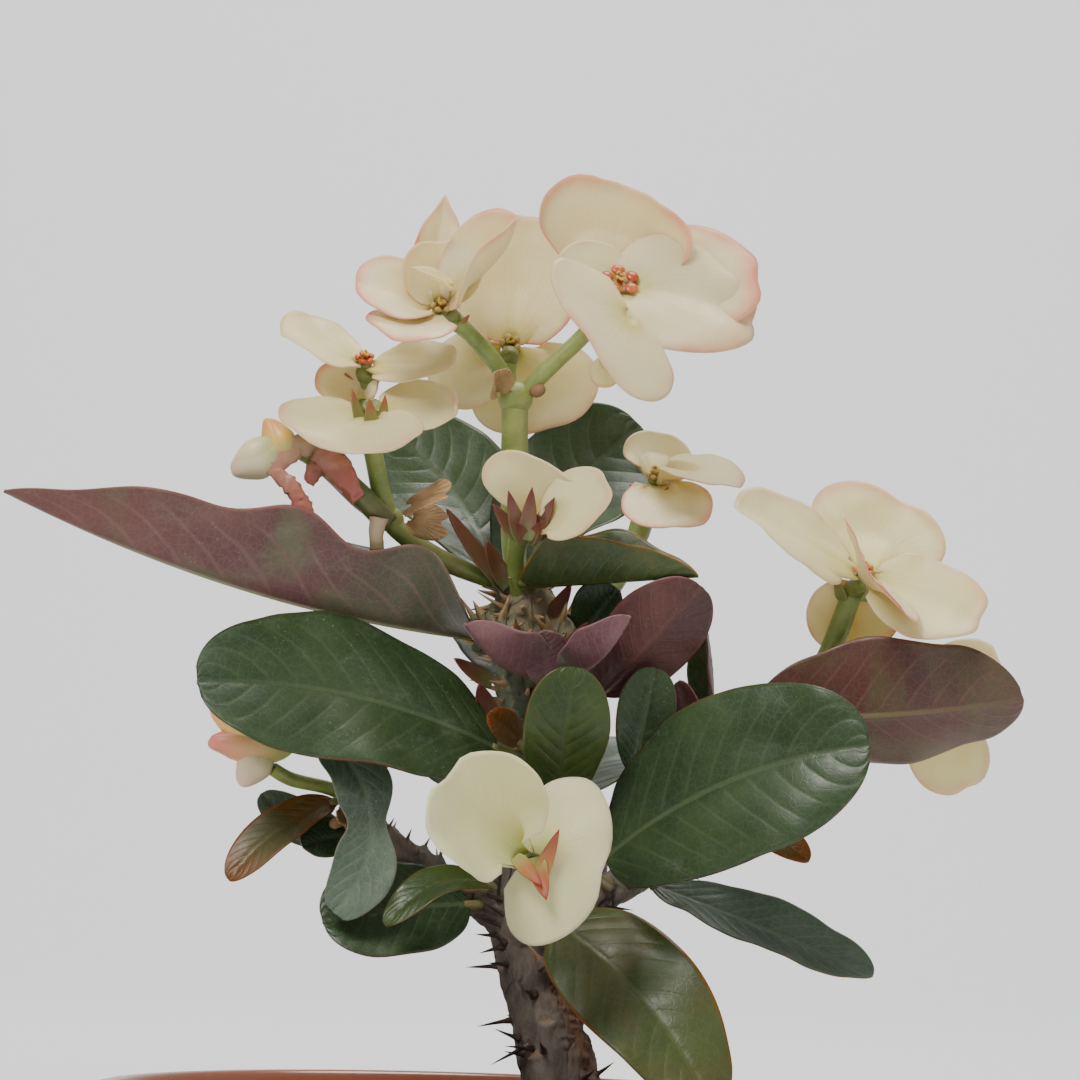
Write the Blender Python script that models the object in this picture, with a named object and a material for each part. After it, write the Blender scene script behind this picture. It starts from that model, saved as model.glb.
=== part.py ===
# Potted crown of thorns (a thorny flowering succulent) in a turned plastic pot.
# Origin: middle of the pot's underside. X right, Y to the back, Z up. Design tables are in millimetres.
import bpy
import bmesh
import numpy as np
from math import radians, cos, sin, pi, sqrt, exp
from mathutils import Vector

for ob in list(bpy.data.objects):
    bpy.data.objects.remove(ob, do_unlink=True)

MM = 0.001

# ---------------------------------------------------------------- design tables
# pot: turned outline, radius and height, from the middle of the underside round to the middle of the floor
POT = [(50.2, 0.0), (51.6, 0.9), (52.4, 2.2), (70.0, 119.6), (72.4, 119.6), (73.3, 120.4), (74.2, 126.2),
       (75.0, 127.4), (75.0, 128.9), (74.3, 129.8), (73.2, 130.0), (72.0, 129.5), (71.0, 127.8), (68.3, 120.0),
       (50.9, 4.4), (49.6, 2.6)]
POT_SEG = 48

# soil: surface height, and how far the root socket goes down
SOIL_TOP = 114.0
SOIL_FLOOR = 2.9

# stems: x, y, z, radius
TRUNK = [(23.4, 0, 93, 6.6), (23.0, 0, 104, 7.9), (22.2, 0, 114, 8.4), (18.7, 0, 133, 7.8), (16.5, 0, 141, 7.0),
         (13.4, 0, 149, 6.0), (10.5, 0, 157, 5.3), (8.8, 0, 164, 5.2), (9.5, 0, 177, 5.4), (10.5, 0, 193, 5.4),
         (9.8, 0, 209, 5.6), (8.0, -1, 222, 5.8), (7.0, -1.5, 230, 4.6), (6.5, -1.5, 234.6, 2.4)]
RIGHT = [(11, 0, 160, 3.6), (20, 1, 167, 3.6), (30, 2, 173, 3.6), (41, 4, 183, 3.6), (52, 3, 193.5, 3.7), (59, 2, 202, 3.2), (60.5, 1.5, 204.5, 1.6)]
LEFT = [(9, -1, 162, 3.2), (-3, -5, 171, 3.2), (-15, -9, 178, 3.1), (-23, -12, 185, 2.8), (-25.5, -13, 188, 1.4)]
# short flower stalks that grow straight out of the stem
SIDE_STALKS = [
    [(7.0, -4, 229, 1.7), (6.4, -9, 236.5, 1.7), (7.0, -12, 241.5, 2.1)],
    [(10, 1, 219, 2.0), (16, 7, 222, 2.2), (25, 10, 231.5, 2.3), (30.5, 12, 242, 2.3), (32.6, 13, 251, 2.2)],
    [(11, -3, 190, 1.9), (11, -24, 184.5, 1.8), (10.5, -41, 178.5, 2.2)],
    [(57, 2.5, 199, 1.8), (74.5, 8, 205, 1.6), (86.3, 10.6, 208.4, 1.8)],
    [(-23, -12, 185, 1.5), (-27.5, -13.5, 189.5, 1.4), (-36, -17, 191.5, 1.4), (-40, -18.5, 193.5, 1.4)],
]
STALK_TOP = [
    [(6.3, -1.6, 235.2, 2.2), (5.8, -2, 242, 2.6), (5.5, -2, 254, 2.7), (5.3, -2, 264, 2.7), (5.1, -2, 270, 2.5)],
    [(5.0, -2, 268, 1.7), (2.0, -4.5, 274.5, 1.7), (-4, -7.0, 281, 1.6), (-8.2, -9.0, 284.2, 2.0)],
    [(5.4, -2, 268, 1.7), (11, -2.5, 274.5, 1.7), (18.5, -3.0, 282, 1.7), (22.5, -2.6, 288.0, 2.1)],
    [(5.0, -1, 268, 1.7), (3.6, 2.0, 273.5, 1.6), (3.7, 3.2, 277.0, 1.8)],
]
STALK_LEFT = [
    [(1.9, -4.1, 232.2, 1.6), (-7, -7, 235.5, 1.9), (-15, -8, 240, 2.0), (-19.5, -9, 245, 2.0), (-22.5, -9.5, 256.5, 1.9), (-23.6, -9.8, 262.5, 2.1)],
    [(-23.2, -9.0, 259.5, 1.5), (-24.8, -7.5, 267, 1.4), (-24.8, -6.5, 271.5, 1.8)],
    [(-18.0, -8.6, 243, 1.9), (-25, -8.8, 247.5, 1.9), (-32, -9.5, 253.5, 1.7), (-37, -11, 256.5, 1.6)],
]
STALK_RIGHT = [[(61.4, 0.6, 206.6, 1.9), (66, -2, 212.5, 2.1), (71, -5.5, 224.5, 2.1), (73.5, -7.5, 232.5, 2.2)]]

# leaves: name, base, tip, sag of the midrib, upper side at the base, upper side at the tip, width, shape
LEAVES = [
    ("leaf_left_long", (-1.5, -7, 221.5), (-94, -26, 246.5), (0, -1, -4.5), (0, -0.1, 1), (0, 0.0, 1), 37, dict(fold=(76, 58), curl=(-6, -6), wave=(1.3, 2.6, 0.4), shape=(0.3, 0.72), rows=9)),
    ("leaf_left_broad", (4.0, -14, 199), (-54.5, -36, 210), (0, -2, 4.0), (0.1, -0.8, 0.6), (0, -0.85, 0.5), 34, dict(fold=(12, 12), curl=(-12, -16), wave=(0.8, 2, 1.0), shape=(0.45, 0.42))),
    ("leaf_front_right", (26, -18, 178), (76, -44, 202), (-2, -3, 4), (-0.2, -0.8, 0.5), (0.1, -0.95, 0.3), 35, dict(fold=(12, 10), curl=(-10, -14), wave=(0.7, 2, 0.2), shape=(0.42, 0.42))),
    ("leaf_right_burgundy", (54, -8, 207.5), (107.5, -15, 212.5), (0, 0, -1.5), (0, 0.8, 0.6), (0, 0.75, 0.65), 31, dict(fold=(8, 22), curl=(8, 8), wave=(0.9, 2.5, 0.9), shape=(0.55, 0.5))),
    ("leaf_lower_right", (35.5, -8, 173), (79.5, -18, 157), (0, -1, 0.2), (0.1, -0.6, 0.8), (0.1, -0.6, 0.8), 16, dict(fold=(14, 14), wave=(0.5, 2, 0.2), shape=(0.6, 0.5))),
    ("leaf_lower_front", (17.5, -13, 164.5), (48, -34, 130), (2.5, -2, 2.5), (-0.1, -0.85, 0.5), (0.2, -0.9, 0.4), 25, dict(fold=(10, 10), curl=(-10, -10), wave=(0.6, 2, 0.2), shape=(0.36, 0.5))),
    ("leaf_back_upper_right", (9, 8, 234.5), (31, 32, 266), (-3, 4, 1), (-0.5, -0.75, 0.3), (-0.3, -0.9, 0.2), 32, dict(fold=(8, 8), curl=(-8, -8), wave=(0.6, 2, 0.2), shape=(0.55, 0.42))),
    ("leaf_back_upper_left", (2.0, 19, 233.5), (-20, 39, 263.5), (3, 4, 1), (0.4, -0.8, 0.3), (0.3, -0.9, 0.2), 29, dict(fold=(8, 8), curl=(-8, -8), wave=(0.6, 2, 0.9), shape=(0.55, 0.42))),
    ("leaf_centre_olive", (9, -9, 232.0), (42.5, -19, 234.5), (0, -1, 0), (0, 0, 1), (0, 0.1, 1), 21, dict(fold=(76, 60), wave=(0.6, 2, 0.2), shape=(0.3, 0.66))),
    ("leaf_centre_purple", (14.5, -9, 215), (-3, -24, 223.5), (0, -2, -4), (0.1, 0, 1), (0, 0, 1), 18, dict(fold=(60, 50), wave=(0.4, 2, 0.2))),
    ("leaf_centre_small", (17.5, -12.5, 215.0), (29, -26, 226.0), (0, -2, -3), (-0.1, 0, 1), (0, 0, 1), 14, dict(fold=(50, 50), wave=(0.4, 2, 0.2))),
    ("leaf_maroon", (23.5, -8, 210.5), (43.5, -20, 232), (0, -2, 0), (-0.2, 0.9, 0.3), (-0.2, 0.9, 0.3), 19, dict(fold=(14, 20), wave=(0.5, 2, 0.5), shape=(0.5, 0.45))),
    ("leaf_centre_upright", (16, -14, 186), (18.5, -30, 215.5), (0, -5, 0), (0.1, -1, 0.1), (0.1, -1, 0.3), 17, dict(fold=(14, 14), curl=(-10, -10), wave=(0.4, 2, 0.2), shape=(0.75, 0.5))),
    ("leaf_round_dark", (31, -9, 194.5), (34.5, -15, 216), (0, -1, 0), (0.1, -1, 0.1), (0.1, -1, 0.1), 12, dict(fold=(14, 14), wave=(0.3, 2, 0.2), shape=(0.7, 0.45))),
    ("leaf_edge_narrow", (45.5, -1, 202.5), (44, -6, 225.5), (1, 0, 0), (-0.9, -0.4, 0.1), (-0.9, -0.4, 0.1), 11, dict(fold=(30, 30), wave=(0.3, 2, 0.2), shape=(0.6, 0.5))),
    ("leaf_low_left_round", (-0.5, -13, 168), (-29, -24, 164), (0, -1, 0.8), (0.1, -0.85, 0.5), (0, -0.85, 0.5), 22, dict(fold=(10, 10), curl=(-10, -12), wave=(0.5, 2, 0.2), shape=(0.5, 0.42))),
    ("leaf_low_left_narrow", (3, -22, 172.5), (-16.5, -34, 164), (0, -2, 4), (0, -0.6, 0.8), (0, -0.6, 0.8), 9, dict(fold=(14, 14))),
    ("leaf_side_curved_up", (-18.0, -19, 184.5), (-29.5, -26, 200.5), (4.4, -1, 2.6), (0.4, -0.85, 0.4), (0.1, -0.9, 0.45), 14.5, dict(fold=(14, 14), curl=(-10, -10), shape=(0.5, 0.3))),
    ("leaf_side_curved_down", (-19.6, -20, 183.0), (-27.6, -28, 167.0), (3.0, -1, 0.6), (0.3, -0.9, 0.3), (-0.1, -0.95, 0.3), 13.5, dict(fold=(14, 14), curl=(-10, -10), shape=(0.5, 0.35))),
    ("leaf_side_red", (-27.5, -17, 187.5), (-47.5, -24, 171.5), (-1.5, 0, 1.5), (-0.2, -0.8, 0.5), (-0.2, -0.8, 0.5), 10, dict(fold=(14, 14))),
    ("leaf_side_grey", (-25.5, -8, 182.5), (-42.5, -10, 188.5), (0, 0, -3), (-0.1, -0.8, 0.5), (-0.1, -0.8, 0.5), 10, dict(fold=(14, 14), shape=(0.5, 0.45))),
    # the side away from the front
    ("leaf_rear_upper", (10, 8, 209), (4, 58, 222), (0, 3, 4), (0, -0.2, 1), (0, 0.2, 1), 28, dict(fold=(16, 16), curl=(-10, -10), wave=(0.7, 2, 0.3), shape=(0.6, 0.5))),
    ("leaf_rear_right", (18, 8, 190), (47, 50, 199), (-3, 3, 4), (0.1, -0.2, 1), (0.1, 0.1, 1), 25, dict(fold=(16, 16), curl=(-10, -10), wave=(0.7, 2, 0.9), shape=(0.6, 0.5))),
    ("leaf_rear_left", (4, 8, 187), (-22, 48, 194), (3, 3, 4), (-0.1, -0.2, 1), (-0.1, 0.1, 1), 25, dict(fold=(16, 16), curl=(-10, -10), wave=(0.7, 2, 1.7), shape=(0.6, 0.5))),
    ("leaf_rear_low", (12, 8, 172), (20, 46, 168), (0, 3, 5), (0, 0, 1), (0, 0.3, 1), 21, dict(fold=(14, 14), curl=(-10, -10), wave=(0.6, 2, 0.3), shape=(0.6, 0.5))),
]
LEAF_THICK = 0.85

# bracts (the coloured petals): name, attachment, tip, upper side, width, shape
BRACTS = [
    ("flower1_petal_back", (21.5, 0.2, 294.8), (27, 3, 312.5), (0.05, -0.9, 0.35), 36, dict(cup=20, wave=(0.1, 3, 0.4), notch=0.06, half=106)),
    ("flower1_petal_right", (24, -9.6, 292.0), (54.5, -9.8, 287.0), (0.05, -0.8, 0.58), 31, dict(lift=8, cup=-16, fold=12, wave=(0.1, 3, 0.4), notch=0.06, half=98)),
    ("flower1_petal_front", (23.0, -20, 285.0), (16.0, -31, 279.2), (0.63, -0.56, 0.52), 35, dict(lift=4, cup=-10, off=0.65, wave=(0.1, 3, 1.4), notch=0.06, half=108)),
    ("flower2_petal_back", (-12.5, -8, 290), (-10.4, -2, 306), (0, -0.9, 0.4), 9.5, dict(cup=10, fold=10, notch=-0.15, half=80)),
    ("flower2_petal_left", (-12, -13, 286.5), (-28, -15, 288), (0.1, -0.7, 0.7), 19, dict(lift=8, fold=12, wave=(0.08, 3, 0.4), notch=0.04, half=92)),
    ("flower2_petal_right", (-7, -13, 285.5), (6, -13, 304), (-0.6, -0.5, 0.6), 16, dict(fold=46, wave=(0.06, 3, 0.4), notch=0.04, half=84)),
    ("flower2_petal_front", (-10, -16, 283), (-22.5, -26, 278.5), (0, -0.4, 0.9), 18, dict(lift=4, cup=-10, fold=12, wave=(0.06, 3, 0.4), notch=0.04, half=98)),
    ("flower3_petal_up", (3.5, 11.5, 281), (5.5, 19, 307), (0, -0.9, 0.3), 27, dict(cup=14, fold=8, wave=(0.08, 3, 0.4), notch=0.04, half=92)),
    ("flower3_petal_left", (1.0, 7.2, 279), (-10.5, 7.4, 269.5), (0, -0.9, 0.4), 17, dict(fold=8, wave=(0.08, 3, 0.4), notch=0.04, half=92)),
    ("flower3_petal_down", (6, 12.5, 278.5), (13, 11, 263), (0, -0.9, 0.4), 27, dict(cup=-8, fold=4, wave=(0.08, 3, 0.4), notch=0.04, half=98)),
    ("flower4_petal_left", (-26.5, -8, 274.8), (-42.5, -11, 281.3), (0.1, -0.7, 0.7), 18, dict(lift=8, cup=-6, fold=8, wave=(0.08, 3, 0.4), notch=0.05, half=98)),
    ("flower4_petal_right", (-22.5, -8, 273.5), (-6, -11, 275), (-0.1, -0.6, 0.8), 15, dict(lift=6, cup=-6, fold=8, wave=(0.08, 3, 0.4), notch=0.05, half=98)),
    ("flower5_petal_front", (-24.5, -15, 265), (-29.5, -28, 254.5), (0, -0.5, 0.85), 29, dict(lift=8, cup=-4, fold=4, wave=(0.08, 3, 0.4), notch=0.06, half=106)),
    ("flower5_petal_right", (-21.5, -13, 265.5), (-4.5, -14, 266), (-0.1, -0.75, 0.7), 14, dict(lift=6, cup=-6, fold=4, wave=(0.08, 3, 0.4), notch=0.05, half=94)),
    ("flower6_petal_up", (7.5, -13.5, 245.8), (13, -20, 256), (0, -0.9, 0.4), 22, dict(cup=14, fold=4, wave=(0.06, 3, 0.4), notch=0.04, half=98)),
    ("flower6_petal_right", (11.5, -23, 242), (24.5, -30, 249.5), (-0.1, -0.85, 0.5), 14, dict(cup=8, fold=4, wave=(0.06, 3, 0.4), notch=0.04, half=92)),
    ("flower7_petal_up", (34, 19.5, 256), (35, 25, 264), (0, -0.8, 0.5), 14, dict(cup=10, fold=4, notch=0.04, half=98)),
    ("flower7_petal_right", (36, 12.5, 257), (52.5, 9, 253), (0, -0.25, 0.95), 19, dict(lift=6, cup=-8, fold=8, notch=0.04, half=94)),
    ("flower7_petal_front", (33.5, 8.5, 253), (40, -2, 243.5), (0, -0.55, 0.8), 19, dict(lift=4, cup=-6, fold=4, notch=0.05, half=100)),
    ("flower8_petal_left", (71, -13, 236.5), (49, -17, 249), (0.1, -0.6, 0.8), 19, dict(lift=4, cup=-4, fold=10, notch=0.05, half=94)),
    ("flower8_petal_up_right", (76, -5, 238.5), (89.5, 1, 251.5), (-0.1, -0.85, 0.5), 22, dict(cup=8, fold=4, notch=0.05, half=96)),
    ("flower8_petal_low_right", (77.5, -14.5, 234), (100, -18, 227), (0, -0.78, 0.62), 20, dict(lift=4, cup=-6, fold=4, notch=0.06, half=94)),
    ("flower8_petal_front", (75.5, -22, 232.5), (70, -31, 226.5), (0.1, -0.5, 0.85), 21, dict(lift=10, cup=-20, fold=4, notch=0.05, half=104)),
    ("flower9_petal_left", (6.5, -50, 179.5), (-10.5, -53, 195.2), (0.1, -0.95, 0.3), 33, dict(lift=6, cup=14, fold=6, notch=0.12, half=110, off=0.65)),
    ("flower9_petal_right", (10.8, -45, 179.4), (26.6, -46, 175.6), (-0.1, -0.95, 0.2), 34, dict(lift=4, cup=-8, notch=0.08, half=118, off=0.55)),
    ("flower10_petal_low", (91, 13, 209), (99.5, 10, 193), (0.1, -0.85, 0.4), 17, dict(cup=-6, fold=4, notch=0.05, half=96)),
    ("flower10_petal_up", (91.5, 18.5, 214.5), (104.5, 15, 221), (0, -0.85, 0.4), 14, dict(cup=4, fold=4, notch=0.05, half=96)),
]
BRACT_THICK = 0.65

# finishes: colour, roughness. Every piece gets a material of its own from these
FINISH = {"pot": ((0.29, 0.10, 0.055), 0.22), "soil": ((0.055, 0.036, 0.024), 0.92), "stem": ((0.13, 0.10, 0.075), 0.8),
          "stalk": ((0.20, 0.27, 0.08), 0.45), "green": ((0.035, 0.065, 0.030), 0.4), "burgundy": ((0.12, 0.035, 0.030), 0.42),
          "petal": ((0.75, 0.66, 0.45), 0.45), "bud": ((0.75, 0.40, 0.27), 0.42)}
BURGUNDY = {"leaf_left_long", "leaf_right_burgundy", "leaf_centre_purple", "leaf_maroon", "leaf_edge_narrow", "leaf_side_red"}

# buds: centre, half lengths, direction of the long axis
BUDS_SIDE = [((-44.5, -19.5, 198), (7.4, 2.6, 3.2), (-1, -0.2, 0.05)), ((-47, -20, 202), (5.6, 2.4, 2.8), (-0.9, 0, 0.5)), ((-43.5, -19, 194.2), (4.4, 2.6, 3.0), (-0.5, -0.2, -0.8))]
BUDS_LEFT = [((-41.5, -12.2, 258.5), (4.2, 2.4, 2.8), (-0.5, 0, 0.8)), ((-45.5, -13, 254.5), (5.0, 2.4, 3.4), (-0.8, 0, -0.5))]

# thorns: stem they stand on, share along it from and to, how many, length
THORNS = [("trunk", 0.30, 0.50, 12, 6.0), ("trunk", 0.52, 0.74, 8, 6.5), ("trunk", 0.76, 0.955, 16, 6.0), ("right", 0.42, 0.90, 9, 6.0), ("left", 0.35, 0.85, 6, 5.0)]


# ---------------------------------------------------------------- shapes
def unit(v):
    v = np.asarray(v, float)
    return v / max(np.linalg.norm(v), 1e-12)


def smooth(t):
    return t * t * (3 - 2 * t)


def leaf_points(base, tip, bow, up0, up1, width, fold=(10, 10), curl=(0, 0), wave=(0, 2, 0), shape=(0.5, 0.5), cols=4, rows=7, neck=1.1, point=0.45):
    b, t = np.asarray(base, float), np.asarray(tip, float)
    ctrl = (b + t) / 2 + 2 * np.asarray(bow, float)
    ca, cb = shape
    peak = ca / (ca + cb)
    top = peak ** ca * (1 - peak) ** cb
    P = np.zeros((rows + 1, cols + 1, 3))
    for i in range(rows + 1):
        s = i / rows
        q = 0.35 * s + 0.65 * 0.5 * (1 - cos(pi * s))
        m = (1 - q) ** 2 * b + 2 * q * (1 - q) * ctrl + q * q * t
        T = unit(2 * (1 - q) * (ctrl - b) + 2 * q * (t - ctrl))
        up = unit(unit(up0) * (1 - smooth(q)) + unit(up1) * smooth(q))
        N = unit(up - up.dot(T) * T)
        S = np.cross(T, N)
        w = width / 2 * (q ** ca * (1 - q) ** cb) / top
        w = max(w, neck * (1 - smooth(min(1, q * 3))), point)
        for j in range(cols + 1):
            a = -1 + 2 * j / cols
            side = 0 if a < 0 else 1
            sg = -1 if a < 0 else 1
            # the two halves lie flat together again at the tip
            f0 = radians(fold[side]) * smooth(min(1, q * 4 + 0.15)) * smooth(min(1, (1 - q) * 5 + 0.04))
            c0 = radians(curl[side])
            d = np.zeros(3)
            for k in range(6):
                ph = f0 + c0 * (k + 0.5) / 6 * abs(a)
                d += (cos(ph) * sg * S + sin(ph) * N) * abs(a) / 6
            ripple = wave[0] * a * a * sin(2 * pi * wave[1] * q + wave[2] + (0 if side else 1.3)) * smooth(min(1, q * 3)) * smooth(min(1, (1 - q) * 4))
            P[i, j] = m + d * w + N * ripple
    return P


def bract_points(base, tip, up, width, lift=0, cup=0, fold=0, wave=(0, 3, 0), notch=0.05, half=100, off=0.8, cols=10, rows=2, root=1.2):
    b, t = np.asarray(base, float), np.asarray(tip, float)
    D = unit(t - b)
    N = unit(np.asarray(up, float) - np.dot(up, D) * D)
    S = np.cross(D, N)
    A = np.linalg.norm(t - b) / (1 + off)
    asp = width / (2 * A)
    P = np.zeros((rows + 1, cols + 1, 3))
    for j in range(cols + 1):
        a = -1 + 2 * j / cols
        th = radians(half) * a
        R = off * cos(th) + sqrt(max(0, 1 - (off * sin(th)) ** 2))
        R *= A * (1 - notch * exp(-(th / 0.16) ** 2)) * (1 - 0.12 * smooth(max(0, (abs(a) - 0.72) / 0.28)))
        e = cos(th) * D + sin(th) * S * asp
        R *= np.linalg.norm(e)
        e = unit(e)
        p = b + e * root
        prev = 0.0
        for i in range(rows + 1):
            rho = (i / rows) ** 0.85
            m = max(1, int(round(12 * (rho - prev))))
            for k in range(m):
                x = prev + (rho - prev) * (k + 0.5) / m
                ph = radians(lift + cup * x + fold * abs(sin(th))) + wave[0] * sin(wave[1] * th + wave[2]) * x * x
                p = p + (cos(ph) * e + sin(ph) * N) * (R - root) * (rho - prev) / m
            prev = rho
            P[i, j] = p
    return P


def sheet(P, thick):
    rows, cols = P.shape[:2]
    T = np.gradient(P, axis=0)
    dc = np.diff(P, axis=1)
    both = [np.cross(np.concatenate(e, axis=1), T) for e in ((dc[:, :1], dc), (dc, dc[:, -1:]))]
    left, right = [n / np.maximum(np.linalg.norm(n, axis=2, keepdims=True), 1e-12) for n in both]
    n = left + right
    n /= np.maximum(np.linalg.norm(n, axis=2, keepdims=True), 1e-12)
    # along a fold the faces are pushed apart further, so the wall keeps its thickness
    n /= np.maximum((n * left).sum(axis=2, keepdims=True), 0.5)
    V = np.vstack([(P + n * thick / 2).reshape(-1, 3), (P - n * thick / 2).reshape(-1, 3)])
    o = rows * cols
    F = []
    for i in range(rows - 1):
        for j in range(cols - 1):
            a, b, c, d = i * cols + j, i * cols + j + 1, (i + 1) * cols + j + 1, (i + 1) * cols + j
            F += [(a, b, c, d), (o + d, o + c, o + b, o + a)]
    ring = list(range(cols)) + [i * cols + cols - 1 for i in range(1, rows)] + [(rows - 1) * cols + j for j in range(cols - 2, -1, -1)] + [i * cols for i in range(rows - 2, 0, -1)]
    for k in range(len(ring)):
        a, b = ring[k], ring[(k + 1) % len(ring)]
        F.append((a, o + a, o + b, b))
    return V, F


def tube(points, seg=10, sub=1, turn=0.0):
    pts = np.array([p[:3] for p in points], float)
    rad = np.array([p[3] for p in points], float)
    if sub > 1:
        t = np.arange(len(pts))
        u = np.linspace(0, len(pts) - 1, (len(pts) - 1) * sub + 1)
        pts = np.stack([np.interp(u, t, pts[:, k]) for k in range(3)], 1)
        rad = np.interp(u, t, rad)
    V, F = [], []
    T = unit(pts[1] - pts[0])
    A = np.eye(3)[int(np.argmin(np.abs(T)))]
    for i in range(len(pts)):
        T = unit(pts[min(i + 1, len(pts) - 1)] - pts[max(i - 1, 0)])
        A = unit(A - A.dot(T) * T)
        B = np.cross(T, A)
        for k in range(seg):
            f = 2 * pi * (k + turn) / seg
            V.append(pts[i] + rad[i] * (cos(f) * A + sin(f) * B))
    for i in range(len(pts) - 1):
        for k in range(seg):
            a, b = i * seg + k, i * seg + (k + 1) % seg
            F.append((a, b, b + seg, a + seg))
    F.append(tuple(range(seg - 1, -1, -1)))
    F.append(tuple(range((len(pts) - 1) * seg, len(pts) * seg)))
    return np.array(V), F


def bead(centre, half, axis, seg=9, rings=6, pinch=0.25):
    T = unit(axis)
    A = unit(np.array([0.1, 1, 0.2]) - np.dot([0.1, 1, 0.2], T) * T)
    B = np.cross(T, A)
    c = np.array(centre, float)
    V, F = [c - T * half[0]], []
    for i in range(1, rings):
        x = -cos(pi * i / rings)
        r = sin(pi * i / rings) * (1 - pinch * max(0, x))
        for k in range(seg):
            f = 2 * pi * k / seg
            V.append(c + T * half[0] * x + r * (half[1] * cos(f) * A + half[2] * sin(f) * B))
    V.append(c + T * half[0])
    e = len(V) - 1
    for k in range(seg):
        n = (k + 1) % seg
        F.append((0, 1 + n, 1 + k))
        F.append((e, e - seg + k, e - seg + n))
        for i in range(rings - 2):
            a = 1 + i * seg
            F.append((a + k, a + n, a + seg + n, a + seg + k))
    return np.array(V), F


def lathe(profile, seg, solid=True):
    """Closed turned body. The outline starts and ends on the axis."""
    V, F = [(0, 0, profile[0][1])], []
    for r, z in profile:
        for k in range(seg):
            f = 2 * pi * k / seg
            V.append((r * cos(f), r * sin(f), z))
    V.append((0, 0, profile[-1][1]))
    e = len(V) - 1
    for k in range(seg):
        n = (k + 1) % seg
        F.append((0, 1 + n, 1 + k))
        F.append((e, e - seg + k, e - seg + n))
        for i in range(len(profile) - 1):
            a = 1 + i * seg
            F.append((a + k, a + n, a + seg + n, a + seg + k))
    return np.array(V), F


def make(name, V, F):
    me = bpy.data.meshes.new(name)
    me.from_pydata([tuple(float(c) * MM for c in v) for v in V], [], F)
    bm = bmesh.new()
    bm.from_mesh(me)
    bmesh.ops.recalc_face_normals(bm, faces=bm.faces)
    if bm.calc_volume(signed=True) < 0:
        bmesh.ops.reverse_faces(bm, faces=bm.faces)
    bmesh.ops.triangulate(bm, faces=[f for f in bm.faces if len(f.verts) > 4])
    bm.to_mesh(me)
    bm.free()
    ob = bpy.data.objects.new(name, me)
    bpy.context.scene.collection.objects.link(ob)
    return ob


def combine(ob, other, how):
    mod = ob.modifiers.new("b", "BOOLEAN")
    mod.operation = how
    mod.solver = "EXACT"
    mod.use_self = True
    mod.object = other
    dg = bpy.context.evaluated_depsgraph_get()
    me = bpy.data.meshes.new_from_object(ob.evaluated_get(dg))
    ob.modifiers.clear()
    ob.data = me
    bpy.data.objects.remove(other, do_unlink=True)
    return ob


def tidy(ob, name):
    bm = bmesh.new()
    bm.from_mesh(ob.data)
    left, groups = set(bm.faces), []
    while left:
        seen = {min(left, key=lambda f: f.index)}
        todo = list(seen)
        while todo:
            for e in todo.pop().edges:
                for g in e.link_faces:
                    if g not in seen:
                        seen.add(g)
                        todo.append(g)
        left -= seen
        groups.append(seen)
    groups.sort(key=len, reverse=True)
    stray = [f for g in groups[1:] for f in g]
    if stray:
        bmesh.ops.delete(bm, geom=stray, context="FACES")
    bmesh.ops.remove_doubles(bm, verts=bm.verts, dist=1e-6)
    bmesh.ops.triangulate(bm, faces=bm.faces)
    bm.to_mesh(ob.data)
    bm.free()
    ob.name = name
    ob.data.name = name
    return ob


def grown(name, tubes, seg=10, thorns=None):
    ob = make(name, *tube(tubes[0], seg))
    for k, t in enumerate(tubes[1:]):
        ob = combine(ob, make("t", *tube(t, 8, turn=0.31 * (k + 1))), "UNION")
    for v, f in thorns or []:
        ob = combine(ob, make("t", v, f), "UNION")
    return tidy(ob, name)


def along(points, s):
    pts = np.array([p[:3] for p in points], float)
    rad = np.array([p[3] for p in points], float)
    L = np.concatenate([[0], np.cumsum(np.linalg.norm(np.diff(pts, axis=0), axis=1))])
    x = s * L[-1]
    i = min(int(np.searchsorted(L, x, side="right")) - 1, len(pts) - 2)
    f = (x - L[i]) / (L[i + 1] - L[i])
    return pts[i] * (1 - f) + pts[i + 1] * f, unit(pts[i + 1] - pts[i]), rad[i] * (1 - f) + rad[i + 1] * f


def thorn_list():
    out = []
    stems = {"trunk": TRUNK, "right": RIGHT, "left": LEFT}
    n = 0
    for stem, s0, s1, count, length in THORNS:
        for k in range(count):
            n += 1
            p, T, r = along(stems[stem], s0 + (s1 - s0) * (k + 0.5) / count)
            A = unit(np.array([0.1, 1, 0.2]) - np.dot([0.1, 1, 0.2], T) * T)
            B = np.cross(T, A)
            f = n * 2.39996
            d = cos(f) * A + sin(f) * B
            h = length * (0.75 + 0.25 * sin(7.1 * n))
            tip = p + d * (r + h) + T * h * 0.3
            out.append(tube([(*(p + d * (r - 0.9)), 0.85), (*(p + d * (r + 0.35 * h)), 0.5), (*tip, 0.14)], 5))
    return out


# ---------------------------------------------------------------- build
make("pot", *lathe(POT, POT_SEG))

soil_profile = [(49.2, SOIL_FLOOR), (50.3, 4.6), (66.7, SOIL_TOP - 1.0), (62, SOIL_TOP), (50, SOIL_TOP + 0.6), (38, SOIL_TOP), (24, SOIL_TOP + 0.5), (10, SOIL_TOP + 0.2)]
soil = make("soil", *lathe(soil_profile, 32))
socket = [(x, y, z, r + 0.35) for x, y, z, r in TRUNK[:3]]
socket[0] = (socket[0][0], socket[0][1], socket[0][2] - 0.4, socket[0][3])
t2 = np.array(TRUNK[3]) * 0.4 + np.array(TRUNK[2]) * 0.6
socket.append((t2[0], t2[1], t2[2], t2[3] + 0.35))
soil = tidy(combine(soil, make("t", *tube(socket, 12)), "DIFFERENCE"), "soil")

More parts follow.
